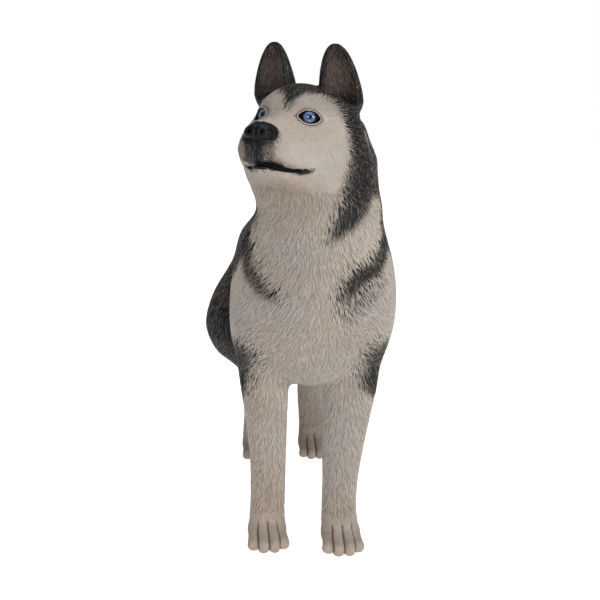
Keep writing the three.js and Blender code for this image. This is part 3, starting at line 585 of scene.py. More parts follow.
def wander(points, size, seed=0):
    """Slow, smooth variation from -1 to 1."""
    rng = np.random.default_rng(seed)
    total = np.zeros(len(points))
    for _ in range(5):
        wave = rng.normal(size=3)
        wave *= 2 * math.pi / (size * rng.uniform(0.7, 1.5) * np.linalg.norm(wave))
        total += np.sin(points @ wave + rng.uniform(0, 6.28))
    return total / 3.2


def leg_place(points, leg):
    """Angle from the front of a leg towards its outer side, in degrees, and the leg's own side."""
    (cx, cy, _, _), _ = leg["shape"].at(points[:, 2])
    side = 1 if leg["box"][0] > 0 else -1
    return np.degrees(np.arctan2((points[:, 0] - cx) * side, cy - points[:, 1])), side


def toe_grooves(points):
    """The grooves between the toes of each paw, 1 in their middle."""
    x, y, z = points.T
    mask = np.zeros(len(points))
    for leg in LEGS:
        (px, py), (width, length) = leg["paw"]
        lx, ly = x - px, y - py
        near = (np.abs(lx) < width * 0.55) & (np.abs(ly) < length * 0.7) & (z < 58)
        narrow = 1 - 0.12 * smooth_step(-0.3, 0.05, ly / length)
        line = np.zeros(len(points))
        for place in (-0.262, 0.0, 0.262):
            line = np.maximum(line, ridge((lx - place * width * narrow) / 1.7))
        mask = np.maximum(mask, near * line * smooth_step(10, -4, ly) * smooth_step(56, 44, z))
    return mask


def markings(points, normals):
    """Painted markings: dark, brown, warm, cream and shaded tones, with painted shade in the warm tone
    under the head and a painted highlight in the brown on the back, and the bare skin's groove level.
    """
    x, y, z = points.T
    head = to_head(points)
    f, s, u = head.T
    away = np.abs(s - 2)
    ragged = 3 * wander(points, 26, 3) + 2 * wander(points, 11, 4)
    in_head = smooth_step(-125, -100, u) * (z > 600)

    # Body
    side = np.where(x > 15, 1.0, -1.0)
    mane_from = np.where(x > 15, np.interp(z, *MANE_LEFT), np.interp(z, *MANE_RIGHT))
    mane = smooth_step(-14, 12, y - mane_from + ragged)
    saddle = smooth_step(-16, 16, z - np.interp(y, *SADDLE_EDGE) + 2 * ragged)
    inner = smooth_step(0.1, 0.45, -normals[:, 0] * side) * smooth_step(380, 320, z)
    dark = mane * saddle * (1 - inner) * (1 - in_head * (f > -60))
    for rows in (COLLAR_LEFT, COLLAR_RIGHT, CHEST_STROKES):
        dark = np.maximum(dark, band(points, rows))
    for rows in (STRIPE_LEFT, STRIPE_RIGHT):
        dark = np.maximum(dark, band(head, rows))
    for leg, edge in zip(LEGS[:2], CUFF_EDGES):
        angle, _ = leg_place(points, leg)
        x0, x1, y0, _, _ = leg["box"]
        inside = (x > x0) & (x < x1) & (y > y0) & (y < -100)
        cuff = smooth_step(-14, 58, angle - np.interp(z, CUFF_LEVELS, edge) + 2 * ragged)
        cuff *= smooth_step(206, 278, z) * (1 - smooth_step(350, 396, z + ragged))
        dark = np.maximum(dark, 0.95 * cuff * inside * (angle < 170))
    (tail_x, tail_y, tail_rx, tail_ry), _ = TAIL.at(z)
    tail = np.hypot((x - tail_x) / tail_rx, (y - tail_y) / tail_ry)
    tail = smooth_step(1.6, 1.25, tail) * (z < 520) * (z > 120)
    dark = np.maximum(dark, tail * smooth_step(-0.5, 0.1, normals[:, 1]))
    dark *= 1 - 0.8 * band(head, PALE_BAND)

    # Head
    cap = smooth_step(-12, 7, u - np.interp(away, *CAP_EDGE) + 0.7 * ragged)
    behind = smooth_step(-92, -104, f) * smooth_step(-120, -90, u)
    cap = np.maximum(cap, behind) * in_head
    dark = np.maximum(dark, np.maximum(cap, np.maximum(band(head, SMUDGE), band(head, SIDE_SMUDGE))))
    brow = smooth_step(38, 50, u)
    dark = np.maximum(dark, brow * in_head * (f > -110))

    # Ears: brown cups that fade into dark rims
    ear = (u > 30) & (f > -130) & (f < 10) & (away > 22)
    brown = np.zeros(len(points))
    for name, chosen in (("left", ear & (s > 0)), ("right", ear & (s <= 0))):
        if not chosen.any():
            continue
        outer, cup, t = ear_parts(f[chosen], np.abs(s[chosen]), u[chosen], *EAR_SIDES[name])
        inside = smooth_step(4, -6, cup) * smooth_step(-1, -9, outer)
        brown[chosen] = inside * smooth_step(0.2, 0.5, t) * (1 - smooth_step(0.62, 0.95, t))
    dark = dark * (1 - 0.6 * brown)

    # Eyes: dark opening, cream rim and a thin dark line round it
    across, out, rise, almond = eye_places(f, s, u)
    at_eye = (out > -4) & (almond < 26) & (in_head > 0.5)
    liner = smooth_step(0.9, 0.1, almond)
    rim = smooth_step(0.3, 0.9, almond) * smooth_step(2.6, 1.8, almond)
    line = ridge((almond - 3.0) / 1.0) * 0.42 + ridge((almond - 5.5) / 6) * 0.2
    line = line * (1 + 0.5 * smooth_step(-14, -20, across) * smooth_step(4, -4, rise))
    dark = np.where(at_eye, np.maximum(np.maximum(dark * (1 - rim), line), liner), dark)
    cream = np.where(at_eye, rim, 0.0)

    # Mouth, lips, painted shadow under the mouth line and nose surround
    drop = u - mouth_line(f)
    face = in_head > 0.5
    before = np.maximum(0, MOUTH["corner"] + 1 - f)
    width = 3.4 + 1.0 * ridge((f - 9) / 8) + 1.8 * smooth_step(40, 70, f)
    lip = smooth_step(1.3, 0.75, np.hypot(before, drop + 0.4) / width) * (f < 95)
    # Painted shadow just under the mouth line, at its corner and along it
    lip_shadow = (0.5 * ridge((drop + 5) / 4) * ridge((f - 9) / 9)
             + 0.3 * ridge((drop + 5) / 3) * smooth_step(6, 16, f))
    upper = 0.62 * smooth_step(13, 1, drop + 0.5 * ragged) * smooth_step(14, 42, f) * (drop > -2)
    column = smooth_step(16, 6, s + 0.5 * ragged) * smooth_step(-32, -8, s) * smooth_step(56, 68, f)
    column *= (u < -46) * smooth_step(-101, -97, u)
    whisker = 0.58 * smooth_step(38, 22, s + 0.5 * ragged) * smooth_step(-4, 4, s)
    whisker = whisker * smooth_step(55, 68, f)
    whisker *= (u < -50) * smooth_step(-97, -93, u)
    surround = 0.95 * smooth_step(10, 1.5, nose_field(f, s, u)) * (f > 40)
    edge = smooth_step(6, 1, drop) * smooth_step(48, 60, f)
    edge = edge * smooth_step(-8, -4, drop) * smooth_step(34, 20, np.abs(s))
    muzzle = np.maximum(np.maximum(np.maximum(lip, lip_shadow), np.maximum(upper, column)),
                        np.maximum(np.maximum(whisker, surround), edge))
    dark = np.maximum(dark, np.where(face & (np.abs(drop) < 60) & (f > -6), muzzle, 0))

    # Tan washes, the throat's and chin's also painted shade under the head, and shaded places
    low = smooth_step(150, 70, z) * 0.6 + smooth_step(64, 30, z) * 0.15
    # Tan wash on the throat and under the jaw, which also stands as painted shade under the head
    throat = 0.4 * ridge((u + 134) / 30) * ridge(s / 60) * (z > 560)
    chin = 0.45 * smooth_step(-94, -102, u) * smooth_step(-130, -105, u) * (f > -30)
    patches = 0.4 * np.clip(wander(points, 120, 8), 0, 1)
    warm = np.clip(low + throat + chin + patches, 0, 1)
    lobe = 0.6 * smooth_step(-10, -20, s) * smooth_step(55, 72, f) * smooth_step(-48, -58, u) * (z > 600)
    shade = np.maximum(np.where(z < 60, toe_grooves(points), 0), lobe)
    shade = np.maximum(shade, 0.14 * ridge((u + 130) / 34) * (z > 560) * (1 - in_head))
    shade = np.maximum(shade, 0.2 * smooth_step(60, 25, z))
    shade = np.maximum(shade, 0.3 * in_head * smooth_step(-8, 16, u))
    shade = np.maximum(shade, 0.1 * in_head)
    # Brown laid on the dark coat where the back faces up: brown paint that also stands as a painted
    # highlight from above
    top = smooth_step(0.4, 0.9, normals[:, 2]) * smooth_step(-60, 60, y) * (z > 300)
    brown = np.maximum(brown, 0.3 * top * dark)
    groove = 0.1 + 0.42 * in_head * smooth_step(-95, -55, f) * (1 - dark)
    groove = np.where(z < 60, np.maximum(groove, 0.5), groove)
    return {"dark": dark, "brown": brown, "warm": warm, "cream": cream, "shade": shade, "lift": groove}


# Lie of the carved hair

def mix(a, b, t):
    return a * (1 - t) + b * t


def lie_of(points, normals):
    """The way the carved hair runs along the surface at each point."""
    x, y, z = points.T
    head = to_head(points)
    f, s, u = head.T
    side = np.where(s > 0, 1.0, -1.0)
    lean = np.clip((x - 21) / 110, -1.2, 1.2)
    one = np.ones(len(points))

    # Neck and chest run down and fan out, the back runs to the tail
    low = smooth_step(600, 480, z)
    neck = np.stack([lean * (0.2 + 0.75 * low), 0.35 * np.abs(lean) + 0.1, -one], 1)
    back = np.stack([0.1 * lean, one, -0.42 * one], 1)
    flow = mix(neck, back, smooth_step(-175, -85, y)[:, None])
    thigh = np.stack([0 * one, 0.35 * one, -one], 1)
    flow = mix(flow, thigh, (smooth_step(70, 130, y) * smooth_step(500, 440, z))[:, None])

    # Legs part from a line down their front
    for leg in LEGS:
        angle, leg_side = leg_place(points, leg)
        x0, x1, y0, y1, _ = leg["box"]
        fore = y0 < 0
        inside = (x > x0) & (x < x1) & (y > y0) & (y < y1)
        weight = inside * (smooth_step(360, 300, z) if fore else smooth_step(250, 190, z))
        turn = np.radians(angle)
        across = np.stack([np.cos(turn) * leg_side, np.sin(turn), 0 * one], 1)
        spread = 0.55 * np.sin(turn) + 0.12
        limb = across * (spread * np.where(np.abs(angle) > 130, 0.3, 1))[:, None]
        limb[:, 2] -= 1
        limb[:, 1] -= 0.7 * smooth_step(60, 25, z)
        flow = mix(flow, limb, weight[:, None])
    tail = smooth_step(322, 334, y) * (z < 500)
    flow = mix(flow, np.stack([0 * one, 0.1 * one, -one], 1), tail[:, None])

    # Head runs back from the nose, the ears to their tips
    rise = np.interp(u, [-110, -60, -10, 15, 45], [-0.75, -0.8, -0.55, 0.35, 0.6])
    face = np.stack([-one, 0.25 * side * smooth_step(60, 20, np.abs(s)), rise], 1)
    front = smooth_step(40, 70, f) * smooth_step(-50, -62, u)
    face = mix(face, np.stack([-0.8 * one, 0.5 * side, -0.9 * one], 1), front[:, None])
    ear = smooth_step(34, 50, u) * smooth_step(20, 30, np.abs(s - 2))
    face = mix(face, np.stack([0.25 * one, -0.05 * side, one], 1), ear[:, None])
    weight = smooth_step(-150, -95, u) * (z > 560) * smooth_step(-150, -100, f)
    flow = mix(flow, face @ HEAD_AXES, weight[:, None])

    # Slow turns, then laid flat on the surface
    flow /= np.linalg.norm(flow, axis=1)[:, None]
    swing = 0.16 * wander(points, 90, 21) + 0.1 * wander(points, 35, 22)
    flow = flow + swing[:, None] * np.cross(normals, flow)
    flow -= (flow * normals).sum(1)[:, None] * normals
    return flow / np.maximum(np.linalg.norm(flow, axis=1), 1e-6)[:, None]


# Hair kinds: spacing, length, width and height of a carved lock, in millimetres
HAIR = {
    "head": (3.2, 9.5, 1.45, 0.62), "cap": (3.3, 10.0, 1.6, 0.8), "ear": (3.3, 9.0, 1.3, 0.4),
    "neck": (4.1, 16, 2.1, 1.35), "torso": (4.85, 19, 2.5, 1.35), "leg": (4.4, 16, 2.2, 1.2),
    "paw": (3.6, 8, 1.4, 0.3), "tail": (5.2, 24, 3.2, 1.4), "whisker": (2.8, 11, 1.3, 1.1),
}
PIECES = ("head", "ears", "neck", "chest", "torso_left", "torso_right", "fore_legs", "hind_legs", "tail")


def kind_of(points, normals):
    """Piece and hair kind of each root."""
    x, y, z = points.T
    f, s, u = to_head(points).T
    away = np.abs(s - 2)
    piece = np.full(len(points), "torso_left", dtype="<U12")
    kind = np.full(len(points), "torso", dtype="<U12")

    def put(chosen, piece_name, kind_name):
        piece[chosen] = piece_name
        kind[chosen] = kind_name

    put((x < 12) & (y > -110), "torso_right", "torso")
    put(y <= -110, "chest", "neck")
    put((y <= -60) & (z > 490), "neck", "neck")
    pairs = ("fore_legs", "fore_legs", "hind_legs", "hind_legs")
    for leg, name, top in zip(LEGS, pairs, (318, 318, 250, 250)):
        x0, x1, y0, y1, _ = leg["box"]
        inside = (x > x0) & (x < x1) & (y > y0) & (y < y1)
        put(inside & (z < top), name, "leg")
        put(inside & (z < 58), name, "paw")
    put((y > 322) & (z < 505) & (np.abs(x - 5) < 60), "tail", "tail")
    in_head = (z > 600) & (f > -100) & (u > -112)
    put(in_head, "head", "head")
    put(in_head & ((f < -62) | (u > 34)), "head", "cap")
    put(in_head & (f > 50) & (s > 2) & (s < 36) & (u < -48) & (u > -94), "head", "whisker")
    put((u > 40) & (f < 10) & (f > -135) & (away > 24) & (z > 700), "ears", "ear")
    return piece, kind


def unwrapped(points, normals, piece):
    """Places of roots on an unwrap of the skin, from 0 to 1 each way."""
    x, y, z = points.T
    if piece in ("head", "ears"):
        f, s, u = to_head(points).T
        if piece == "head":
            turn = np.arctan2(s, f + 55)
            rise = np.arctan2(u + 20, np.hypot(s, f + 55))
            return 0.5 + turn / (2 * math.pi) * 0.98, 0.5 + rise / math.pi * 0.98
        side = s > 0
        inward = normals @ HEAD_AXES[0] > 0.1
        turn = np.arctan2(np.abs(s) - 57, f + 62)
        column = np.where(side, 0.5, 0.0) + np.where(inward, 0.25, 0.0)
        return column + 0.125 + turn / (2 * math.pi) * 0.24, np.clip((u - 36) / 96, 0, 1) * 0.98 + 0.01
    if piece in ("neck", "chest"):
        turn = np.arctan2(x - 21, -(y + 190))
        low, high = (470, 800) if piece == "neck" else (270, 600)
        under = np.hypot(x - 21, y + 190) / 160
        rise = np.clip((z - low) / (high - low), 0, 1)
        rise = np.where((piece == "chest") & (normals[:, 2] < -0.7), 0.16 * under, 0.18 + 0.8 * rise)
        return 0.5 + turn / (2 * math.pi) * 0.98, rise
    if piece.startswith("torso"):
        turn = np.arctan2(x - 12, z - 425)
        return 0.5 + turn / (2 * math.pi) * 0.98, np.clip((y + 115) / 460, 0, 1) * 0.98 + 0.01
    if piece == "tail":
        (cx, cy, _, _), _ = TAIL.at(z)
        return 0.5 + np.arctan2(x - cx, y - cy) / (2 * math.pi) * 0.98, np.clip((z - 140) / 370, 0, 1)
    u = np.zeros(len(points))
    v = np.zeros(len(points))
    for leg in LEGS:
        x0, x1, y0, y1, _ = leg["box"]
        inside = (x > x0) & (x < x1) & (y > y0) & (y < y1)
        angle, side = leg_place(points, leg)
        u = np.where(inside, (0.25 if side < 0 else 0.75) + angle / 360 * 0.48, u)
        v = np.where(inside, np.clip(z / 325, 0, 1) * 0.98 + 0.01, v)
    return u, v


# Carved locks

STATIONS = np.array([0.0, 0.24, 0.54, 0.84, 1.0])
HALF_WIDTHS = np.array([0.0, 0.4, 0.5, 0.36, 0.0])
LOCK_FACES = np.array([
    (0, 1, 2), (0, 2, 3), (0, 3, 1),
    (1, 4, 5), (1, 5, 2), (2, 5, 6), (2, 6, 3), (3, 6, 4), (3, 4, 1),
    (4, 7, 8), (4, 8, 5), (5, 8, 9), (5, 9, 6), (6, 9, 7), (6, 7, 4),
    (7, 10, 8), (8, 10, 9), (9, 10, 7),
])
LOCK_ACROSS = np.array([0, -1, 0, 1, -1, 0, 1, -1, 0, 1, 0]) * 0.5
LOCK_ALONG = STATIONS[[0, 1, 1, 1, 2, 2, 2, 3, 3, 3, 4]] - 0.5
LOCK_LIFT = np.array([0.2, 0.1, 0.75, 0.1, 0.05, 1, 0.05, 0.1, 0.95, 0.1, 0.8])


def locks(roots, normals, flow, sizes, rng):
    """Closed ridges, sunk at the root and raised at the tip, and which of them follow the skin."""
    count = len(roots)
    length, width, height = sizes.T
    side = np.cross(normals, flow)
    yaw = rng.normal(0, 0.13, count)[:, None]
    way = flow * np.cos(yaw) + side * np.sin(yaw)
    bend = rng.normal(0, 0.12, count)[:, None]
    track = roots[:, None] + length[:, None, None] * (
        STATIONS[None, :, None] * way[:, None] + (STATIONS ** 2)[None, :, None] * (bend * side)[:, None])
    flat = track.reshape(-1, 3)
    up = gradient_of(skin_field, flat)
    size = np.maximum((up * up).sum(1), 0.05)
    move = np.clip(skin_field(flat) / size, -3, 3)
    flat = flat - up * move[:, None]
    track = flat.reshape(count, 5, 3)
    step = np.diff(track, axis=1)
    reach = np.linalg.norm(step, axis=2)
    turned = (step[:, 1:] * step[:, :-1]).sum(2) < 0.6 * reach[:, 1:] * reach[:, :-1]
    off = np.abs(skin_field(flat)).reshape(count, 5).max(1)
    sound = (off < 1.0) & ~turned.any(1) & (reach.max(1) < 0.5 * length)
    up = (up / np.sqrt(size)[:, None]).reshape(count, 5, 3)
    ahead = np.empty_like(track)
    ahead[:, 1:-1] = track[:, 2:] - track[:, :-2]
    ahead[:, 0] = track[:, 1] - track[:, 0]
    ahead[:, -1] = track[:, -1] - track[:, -2]
    across = np.cross(up, ahead)
    across /= np.maximum(np.linalg.norm(across, axis=2), 1e-6)[:, :, None]
    half = HALF_WIDTHS[None, :] * width[:, None]
    sunk = np.stack([0.5 + 0 * height, 0.32 + 0.1 * height, 0.3 + 0.05 * height, 0.22 + 0 * height], 1)
    rise = np.array([0.6, 1.0, 0.92])[None, :] * height[:, None]
    result = np.empty((count, 11, 3))
    result[:, 0] = track[:, 0] - up[:, 0] * 0.5
    for k in range(1, 4):
        out = across[:, k] * half[:, k, None]
        base = track[:, k] - up[:, k] * sunk[:, k, None]
        result[:, 3 * k - 2] = base - out
        result[:, 3 * k - 1] = track[:, k] + up[:, k] * rise[:, k - 1, None]
        result[:, 3 * k] = base + out
    result[:, 10] = track[:, 4] + up[:, 4] * (0.35 * height)[:, None]
    return result, sound


def scattered(points, triangles, rng, keep):
    """Random places on the skin, evenly spread by area."""
    a, b, c = (points[triangles[:, k]] for k in range(3))
    cross = np.cross(b - a, c - a)
    area = np.linalg.norm(cross, axis=1) / 2
    total = np.cumsum(area)
    picks = np.searchsorted(total, rng.random(int(total[-1] * keep)) * total[-1])
    r1 = np.sqrt(rng.random(len(picks)))[:, None]
    r2 = rng.random(len(picks))[:, None]
    return a[picks] * (1 - r1) + b[picks] * (r1 * (1 - r2)) + c[picks] * (r1 * r2)


def thinned(points, spacing, rng):
    """One point in each cell of a grid, from finer or coarser grids by spacing."""
    chosen = []
    for size in np.unique(spacing):
        here = np.nonzero(spacing == size)[0]
        cells = np.floor(points[here] / size + rng.random(3)).astype(np.int64)
        keys = (cells[:, 0] * 100003 + cells[:, 1]) * 100003 + cells[:, 2]
        chosen.append(here[np.unique(keys, return_index=True)[1]])
    return np.concatenate(chosen)


# Meshes

def to_metres(points):
    return (points - MIDDLE) / 1000


def mesh_of(name, points, faces, attributes=None, smooth=True):
    """A mesh object from points in metres and rows of equal-sided faces."""
    mesh = bpy.data.meshes.new(name)
    sides = faces.shape[1]
    mesh.vertices.add(len(points))
    mesh.vertices.foreach_set("co", np.ascontiguousarray(points, np.float32).ravel())
    mesh.loops.add(faces.size)
    mesh.loops.foreach_set("vertex_index", np.ascontiguousarray(faces, np.int32).ravel())
    mesh.polygons.add(len(faces))
    mesh.polygons.foreach_set("loop_start", np.arange(0, faces.size, sides, dtype=np.int32))
    mesh.polygons.foreach_set("use_smooth", np.full(len(faces), smooth))
    mesh.update(calc_edges=True)
    if mesh.validate():
        raise RuntimeError(f"{name}: the mesh needed repair")
    for key, values in (attributes or {}).items():
        write_attribute(mesh, key, values)
    piece = bpy.data.objects.new(name, mesh)
    bpy.context.scene.collection.objects.link(piece)
    return piece


def write_attribute(mesh, key, values):
    attribute = mesh.attributes.new(key, "FLOAT", "POINT")
    attribute.data.foreach_set("value", np.ascontiguousarray(values, np.float32))


def points_of(mesh):
    co = np.empty(len(mesh.vertices) * 3, np.float32)
    mesh.vertices.foreach_get("co", co)
    return co.reshape(-1, 3).astype(float)


def triangles_of(mesh):
    corners = np.empty(len(mesh.loops), np.int32)
    mesh.loops.foreach_get("vertex_index", corners)
    return corners.reshape(-1, 3)


def apply_modifiers(piece):
    """Replaces a piece's mesh by the result of its modifiers."""
    graph = bpy.context.evaluated_depsgraph_get()
    mesh = bpy.data.meshes.new_from_object(piece.evaluated_get(graph))
    piece.modifiers.clear()
    piece.data = mesh
    mesh.name = piece.name


# Materials

def new_material(name):
    material = bpy.data.materials.new(name)
    material.use_nodes = True
    tree = material.node_tree
    tree.nodes.clear()
    return material, tree


def node(tree, kind, inputs=None, **settings):
    made = tree.nodes.new(kind)
    for key, value in settings.items():
        setattr(made, key, value)
    for key, value in (inputs or {}).items():
        socket = made.inputs[key]
        if isinstance(value, bpy.types.NodeSocket):
            tree.links.new(value, socket)
        else:
            socket.default_value = value
    return made


def math_node(tree, operation, a, b=0.0, clamp=False):
    made = node(tree, "ShaderNodeMath", {0: a, 1: b}, operation=operation)
    made.use_clamp = clamp
    return made.outputs[0]


def times(tree, a, b):
    return math_node(tree, "MULTIPLY", a, b)


def plus(tree, a, b):
    return math_node(tree, "ADD", a, b)


def minus(tree, a, b):
    return math_node(tree, "SUBTRACT", a, b)


def blend(tree, factor, a, b, mode="MIX"):
    made = node(tree, "ShaderNodeMix", {"Factor": factor}, data_type="RGBA", blend_type=mode)
    for index, value in ((6, a), (7, b)):
        if isinstance(value, bpy.types.NodeSocket):
            tree.links.new(value, made.inputs[index])
        else:
            made.inputs[index].default_value = (*value[:3], 1)
    return made.outputs[2]


def ramp(tree, value, low, high):
    made = node(tree, "ShaderNodeMapRange", {"Value": value, "From Min": low, "From Max": high},
                interpolation_type="SMOOTHSTEP")
    return made.outputs[0]


def painted(name):
    """A value stored at each point of a mesh."""
    return {"attribute_name": name, "attribute_type": "GEOMETRY"}


def attribute_value(tree, name):
    return node(tree, "ShaderNodeAttribute", **painted(name)).outputs["Fac"]


def noise(tree, scale, detail=3.0, roughness=0.55):
    place = node(tree, "ShaderNodeTexCoord").outputs["Object"]
    made = node(tree, "ShaderNodeTexNoise",
                {"Vector": place, "Scale": scale, "Detail": detail, "Roughness": roughness})
    return made.outputs["Fac"]


def group_tree(name, inputs, outputs):
    tree = bpy.data.node_groups.new(name, "ShaderNodeTree")
    for label, kind, default in inputs:
        socket = tree.interface.new_socket(name=label, in_out="INPUT", socket_type=kind)
        socket.default_value = default
    for label, kind in outputs:
        tree.interface.new_socket(name=label, in_out="OUTPUT", socket_type=kind)
    return tree, tree.nodes.new("NodeGroupInput").outputs, tree.nodes.new("NodeGroupOutput").inputs


def carved_paint_group():
    """Paint over carved hair: markings, wash in the grooves and a dry-brushed light on the ridges."""
    name = "Carved paint"
    if name in bpy.data.node_groups:
        return bpy.data.node_groups[name]
    colour, value = "NodeSocketColor", "NodeSocketFloat"
    tree, given, out = group_tree(name, [
        ("Pale", colour, (0.6, 0.55, 0.5, 1)), ("Tan", colour, (0.4, 0.3, 0.2, 1)),
        ("Charcoal", colour, (0.02, 0.02, 0.02, 1)), ("Brown", colour, (0.1, 0.07, 0.05, 1)),
        ("Bone", colour, (0.6, 0.57, 0.53, 1)), ("Cream", colour, (0.6, 0.55, 0.5, 1)),
        ("Dark mask", value, 0), ("Tan mask", value, 0), ("Brown mask", value, 0), ("Cream mask", value, 0),
        ("Shade", value, 0), ("Lift", value, 0.5), ("Tint", value, 0.5), ("Dry brush", value, 0.6),
    ], [("Color", colour), ("Roughness", value), ("Height", value)])
    slow = noise(tree, 9)
    fine = noise(tree, 120, 4)
    speck = noise(tree, 420, 2)
    wash = minus(tree, 1.0, ramp(tree, given["Lift"], 0.0, 0.7))

    # Pale paint: warm and cool patches, tan washes, dark grooves
    pale = blend(tree, ramp(tree, slow, 0.36, 0.64), given["Pale"], (0.93, 0.96, 1.0), "MULTIPLY")
    tan = times(tree, given["Tan mask"], ramp(tree, fine, 0.2, 0.65))
    pale = blend(tree, times(tree, tan, 0.55), pale, given["Tan"])
    tone = plus(tree, times(tree, given["Tint"], 0.26), 0.84)
    tone = node(tree, "ShaderNodeCombineColor", {"Red": tone, "Green": tone, "Blue": tone}).outputs[0]
    pale = blend(tree, 1.0, pale, tone, "MULTIPLY")
    pale = blend(tree, times(tree, wash, 0.74), pale, (0.40, 0.35, 0.31), "MULTIPLY")
    pale = blend(tree, given["Shade"], pale, (0.30, 0.26, 0.24), "MULTIPLY")

    # Dark paint, with light paint dry-brushed on its ridges
    dark = blend(tree, ramp(tree, slow, 0.35, 0.65), given["Charcoal"], (0.6, 0.58, 0.56), "MULTIPLY")
    dark = blend(tree, times(tree, wash, 0.7), dark, (0.35, 0.33, 0.33), "MULTIPLY")
    brushed = times(tree, ramp(tree, given["Lift"], 0.55, 1.0), ramp(tree, speck, 0.25, 0.55))
    brushed = times(tree, brushed, ramp(tree, given["Tint"], 0.2, 0.9))
    brushed = times(tree, brushed, given["Dry brush"])
    dark = blend(tree, brushed, dark, given["Bone"])

    # Where the dark paint thins out, ridges stay pale and grooves take it
    level = minus(tree, given["Dark mask"], times(tree, minus(tree, given["Lift"], 0.5), 0.5))
    level = plus(tree, level, times(tree, minus(tree, given["Tint"], 0.5), 0.2))
    level = plus(tree, level, times(tree, minus(tree, fine, 0.5), 0.3))
    mask = times(tree, ramp(tree, level, 0.14, 0.8), ramp(tree, given["Dark mask"], 0.0, 0.15))
    coat = blend(tree, mask, pale, dark)
    brown = blend(tree, ramp(tree, fine, 0.3, 0.7), given["Brown"], (0.55, 0.5, 0.46), "MULTIPLY")
    brown = blend(tree, times(tree, wash, 0.6), brown, (0.45, 0.42, 0.4), "MULTIPLY")
    coat = blend(tree, given["Brown mask"], coat, brown)
    coat = blend(tree, given["Cream mask"], coat, given["Cream"])
    tree.links.new(coat, out["Color"])
    rough = plus(tree, times(tree, speck, 0.16), 0.5)
    rough = minus(tree, rough, times(tree, mask, 0.14))
    tree.links.new(rough, out["Roughness"])
    grain = plus(tree, times(tree, fine, 0.7), times(tree, speck, 0.3))
    tree.links.new(grain, out["Height"])
    return tree


def linear(colour):
    """A picked colour, 0 to 255, as linear light."""
    c = np.array(colour, float) / 255
    return tuple(np.where(c <= 0.04045, c / 12.92, ((c + 0.055) / 1.055) ** 2.4)) + (1.0,)


def paint_material(name, dry_brush, grain):
    """Painted coat material from the stored markings."""
    if name in bpy.data.materials:
        return bpy.data.materials[name]
    look = bpy.context.scene.husky_paint
    material, tree = new_material(name)
    group = node(tree, "ShaderNodeGroup", node_tree=carved_paint_group())
    for label, colour in (("Pale", look.pale), ("Tan", look.tan), ("Charcoal", look.charcoal),
                          ("Brown", look.brown), ("Bone", look.bone), ("Cream", look.cream)):
        group.inputs[label].default_value = (*colour, 1)
    for label, key in (("Dark mask", "dark"), ("Tan mask", "warm"), ("Brown mask", "brown"),
                       ("Cream mask", "cream"), ("Shade", "shade"), ("Lift", "lift"), ("Tint", "tint")):
        tree.links.new(attribute_value(tree, key), group.inputs[label])
    group.inputs["Dry brush"].default_value = dry_brush
    bump = node(tree, "ShaderNodeBump",
                {"Height": group.outputs["Height"], "Strength": grain, "Distance": 0.0006})
    shader = node(tree, "ShaderNodeBsdfPrincipled", {
        "Base Color": group.outputs["Color"], "Roughness": group.outputs["Roughness"],
        "Normal": bump.outputs[0],
    })
    shader.inputs["Specular IOR Level"].default_value = 0.22
    node(tree, "ShaderNodeOutputMaterial", {"Surface": shader.outputs[0]})
    return material


def eye_material():
    """Painted iris, pupil and black corners from the angle off the eye's axis."""
    look = bpy.context.scene.husky_eyes
    material, tree = new_material("glossy painted eye")
    ring = attribute_value(tree, "ring")
    edge = look.iris_angle
    place = node(tree, "ShaderNodeAttribute", attribute_name="spoke", attribute_type="GEOMETRY")
    place = place.outputs["Vector"]
    rays = node(tree, "ShaderNodeTexNoise", {"Vector": place, "Scale": 2.4, "Detail": 4.0}).outputs["Fac"]
    spread = math_node(tree, "DIVIDE", ring, edge)
    iris = blend(tree, ramp(tree, rays, 0.35, 0.7), look.iris, look.iris_light)
    iris = blend(tree, ramp(tree, spread, 0.66, 1.0), iris, look.iris_ring)
    iris = blend(tree, ramp(tree, spread, 0.44, 0.3), iris, look.iris_ring)
    pupil = ramp(tree, plus(tree, spread, times(tree, rays, 0.04)), 0.38, 0.3)
    iris = blend(tree, pupil, iris, (0.004, 0.004, 0.005))
    soft = plus(tree, spread, times(tree, rays, 0.05))
    colour = blend(tree, ramp(tree, soft, 0.98, 1.08), iris, (0.006, 0.005, 0.005))
    wave = node(tree, "ShaderNodeBump", {
        "Height": noise(tree, 90, 2), "Strength": 0.08, "Distance": 0.0005})
    shader = node(tree, "ShaderNodeBsdfPrincipled", {
        "Base Color": colour, "Roughness": 0.09, "Normal": wave.outputs[0],
        "Specular IOR Level": 0.3, "Coat Weight": 0.25, "Coat Roughness": 0.03,
    })
    node(tree, "ShaderNodeOutputMaterial", {"Surface": shader.outputs[0]})
    return material


def nose_material():
    """Glossy black paint over pebbled nose leather."""
    look = bpy.context.scene.husky_paint
    material, tree = new_material("glossy black nose")
    place = node(tree, "ShaderNodeTexCoord").outputs["Object"]
    pebble = node(tree, "ShaderNodeTexVoronoi", {"Vector": place, "Scale": 620.0}, feature="F1")
    patch = noise(tree, 160, 4)
    colour = blend(tree, ramp(tree, patch, 0.35, 0.75), look.nose, (0.004, 0.004, 0.004))
    rough = plus(tree, times(tree, patch, 0.3), 0.16)
    height = plus(tree, pebble.outputs["Distance"], times(tree, patch, 0.8))
    bump = node(tree, "ShaderNodeBump", {"Height": height, "Strength": 0.35, "Distance": 0.0006})
    shader = node(tree, "ShaderNodeBsdfPrincipled", {
        "Base Color": colour, "Roughness": rough, "Normal": bump.outputs[0],
        "Specular IOR Level": 0.14, "Coat Weight": 0.06, "Coat Roughness": 0.08,
    })
    node(tree, "ShaderNodeOutputMaterial", {"Surface": shader.outputs[0]})
    return material


# Sizes and colours that a user would change

def colour_property(label, text, picked):
    return bpy.props.FloatVectorProperty(name=label, description=text, subtype="COLOR", size=3,
                                         default=linear(picked)[:3], min=0, max=1)


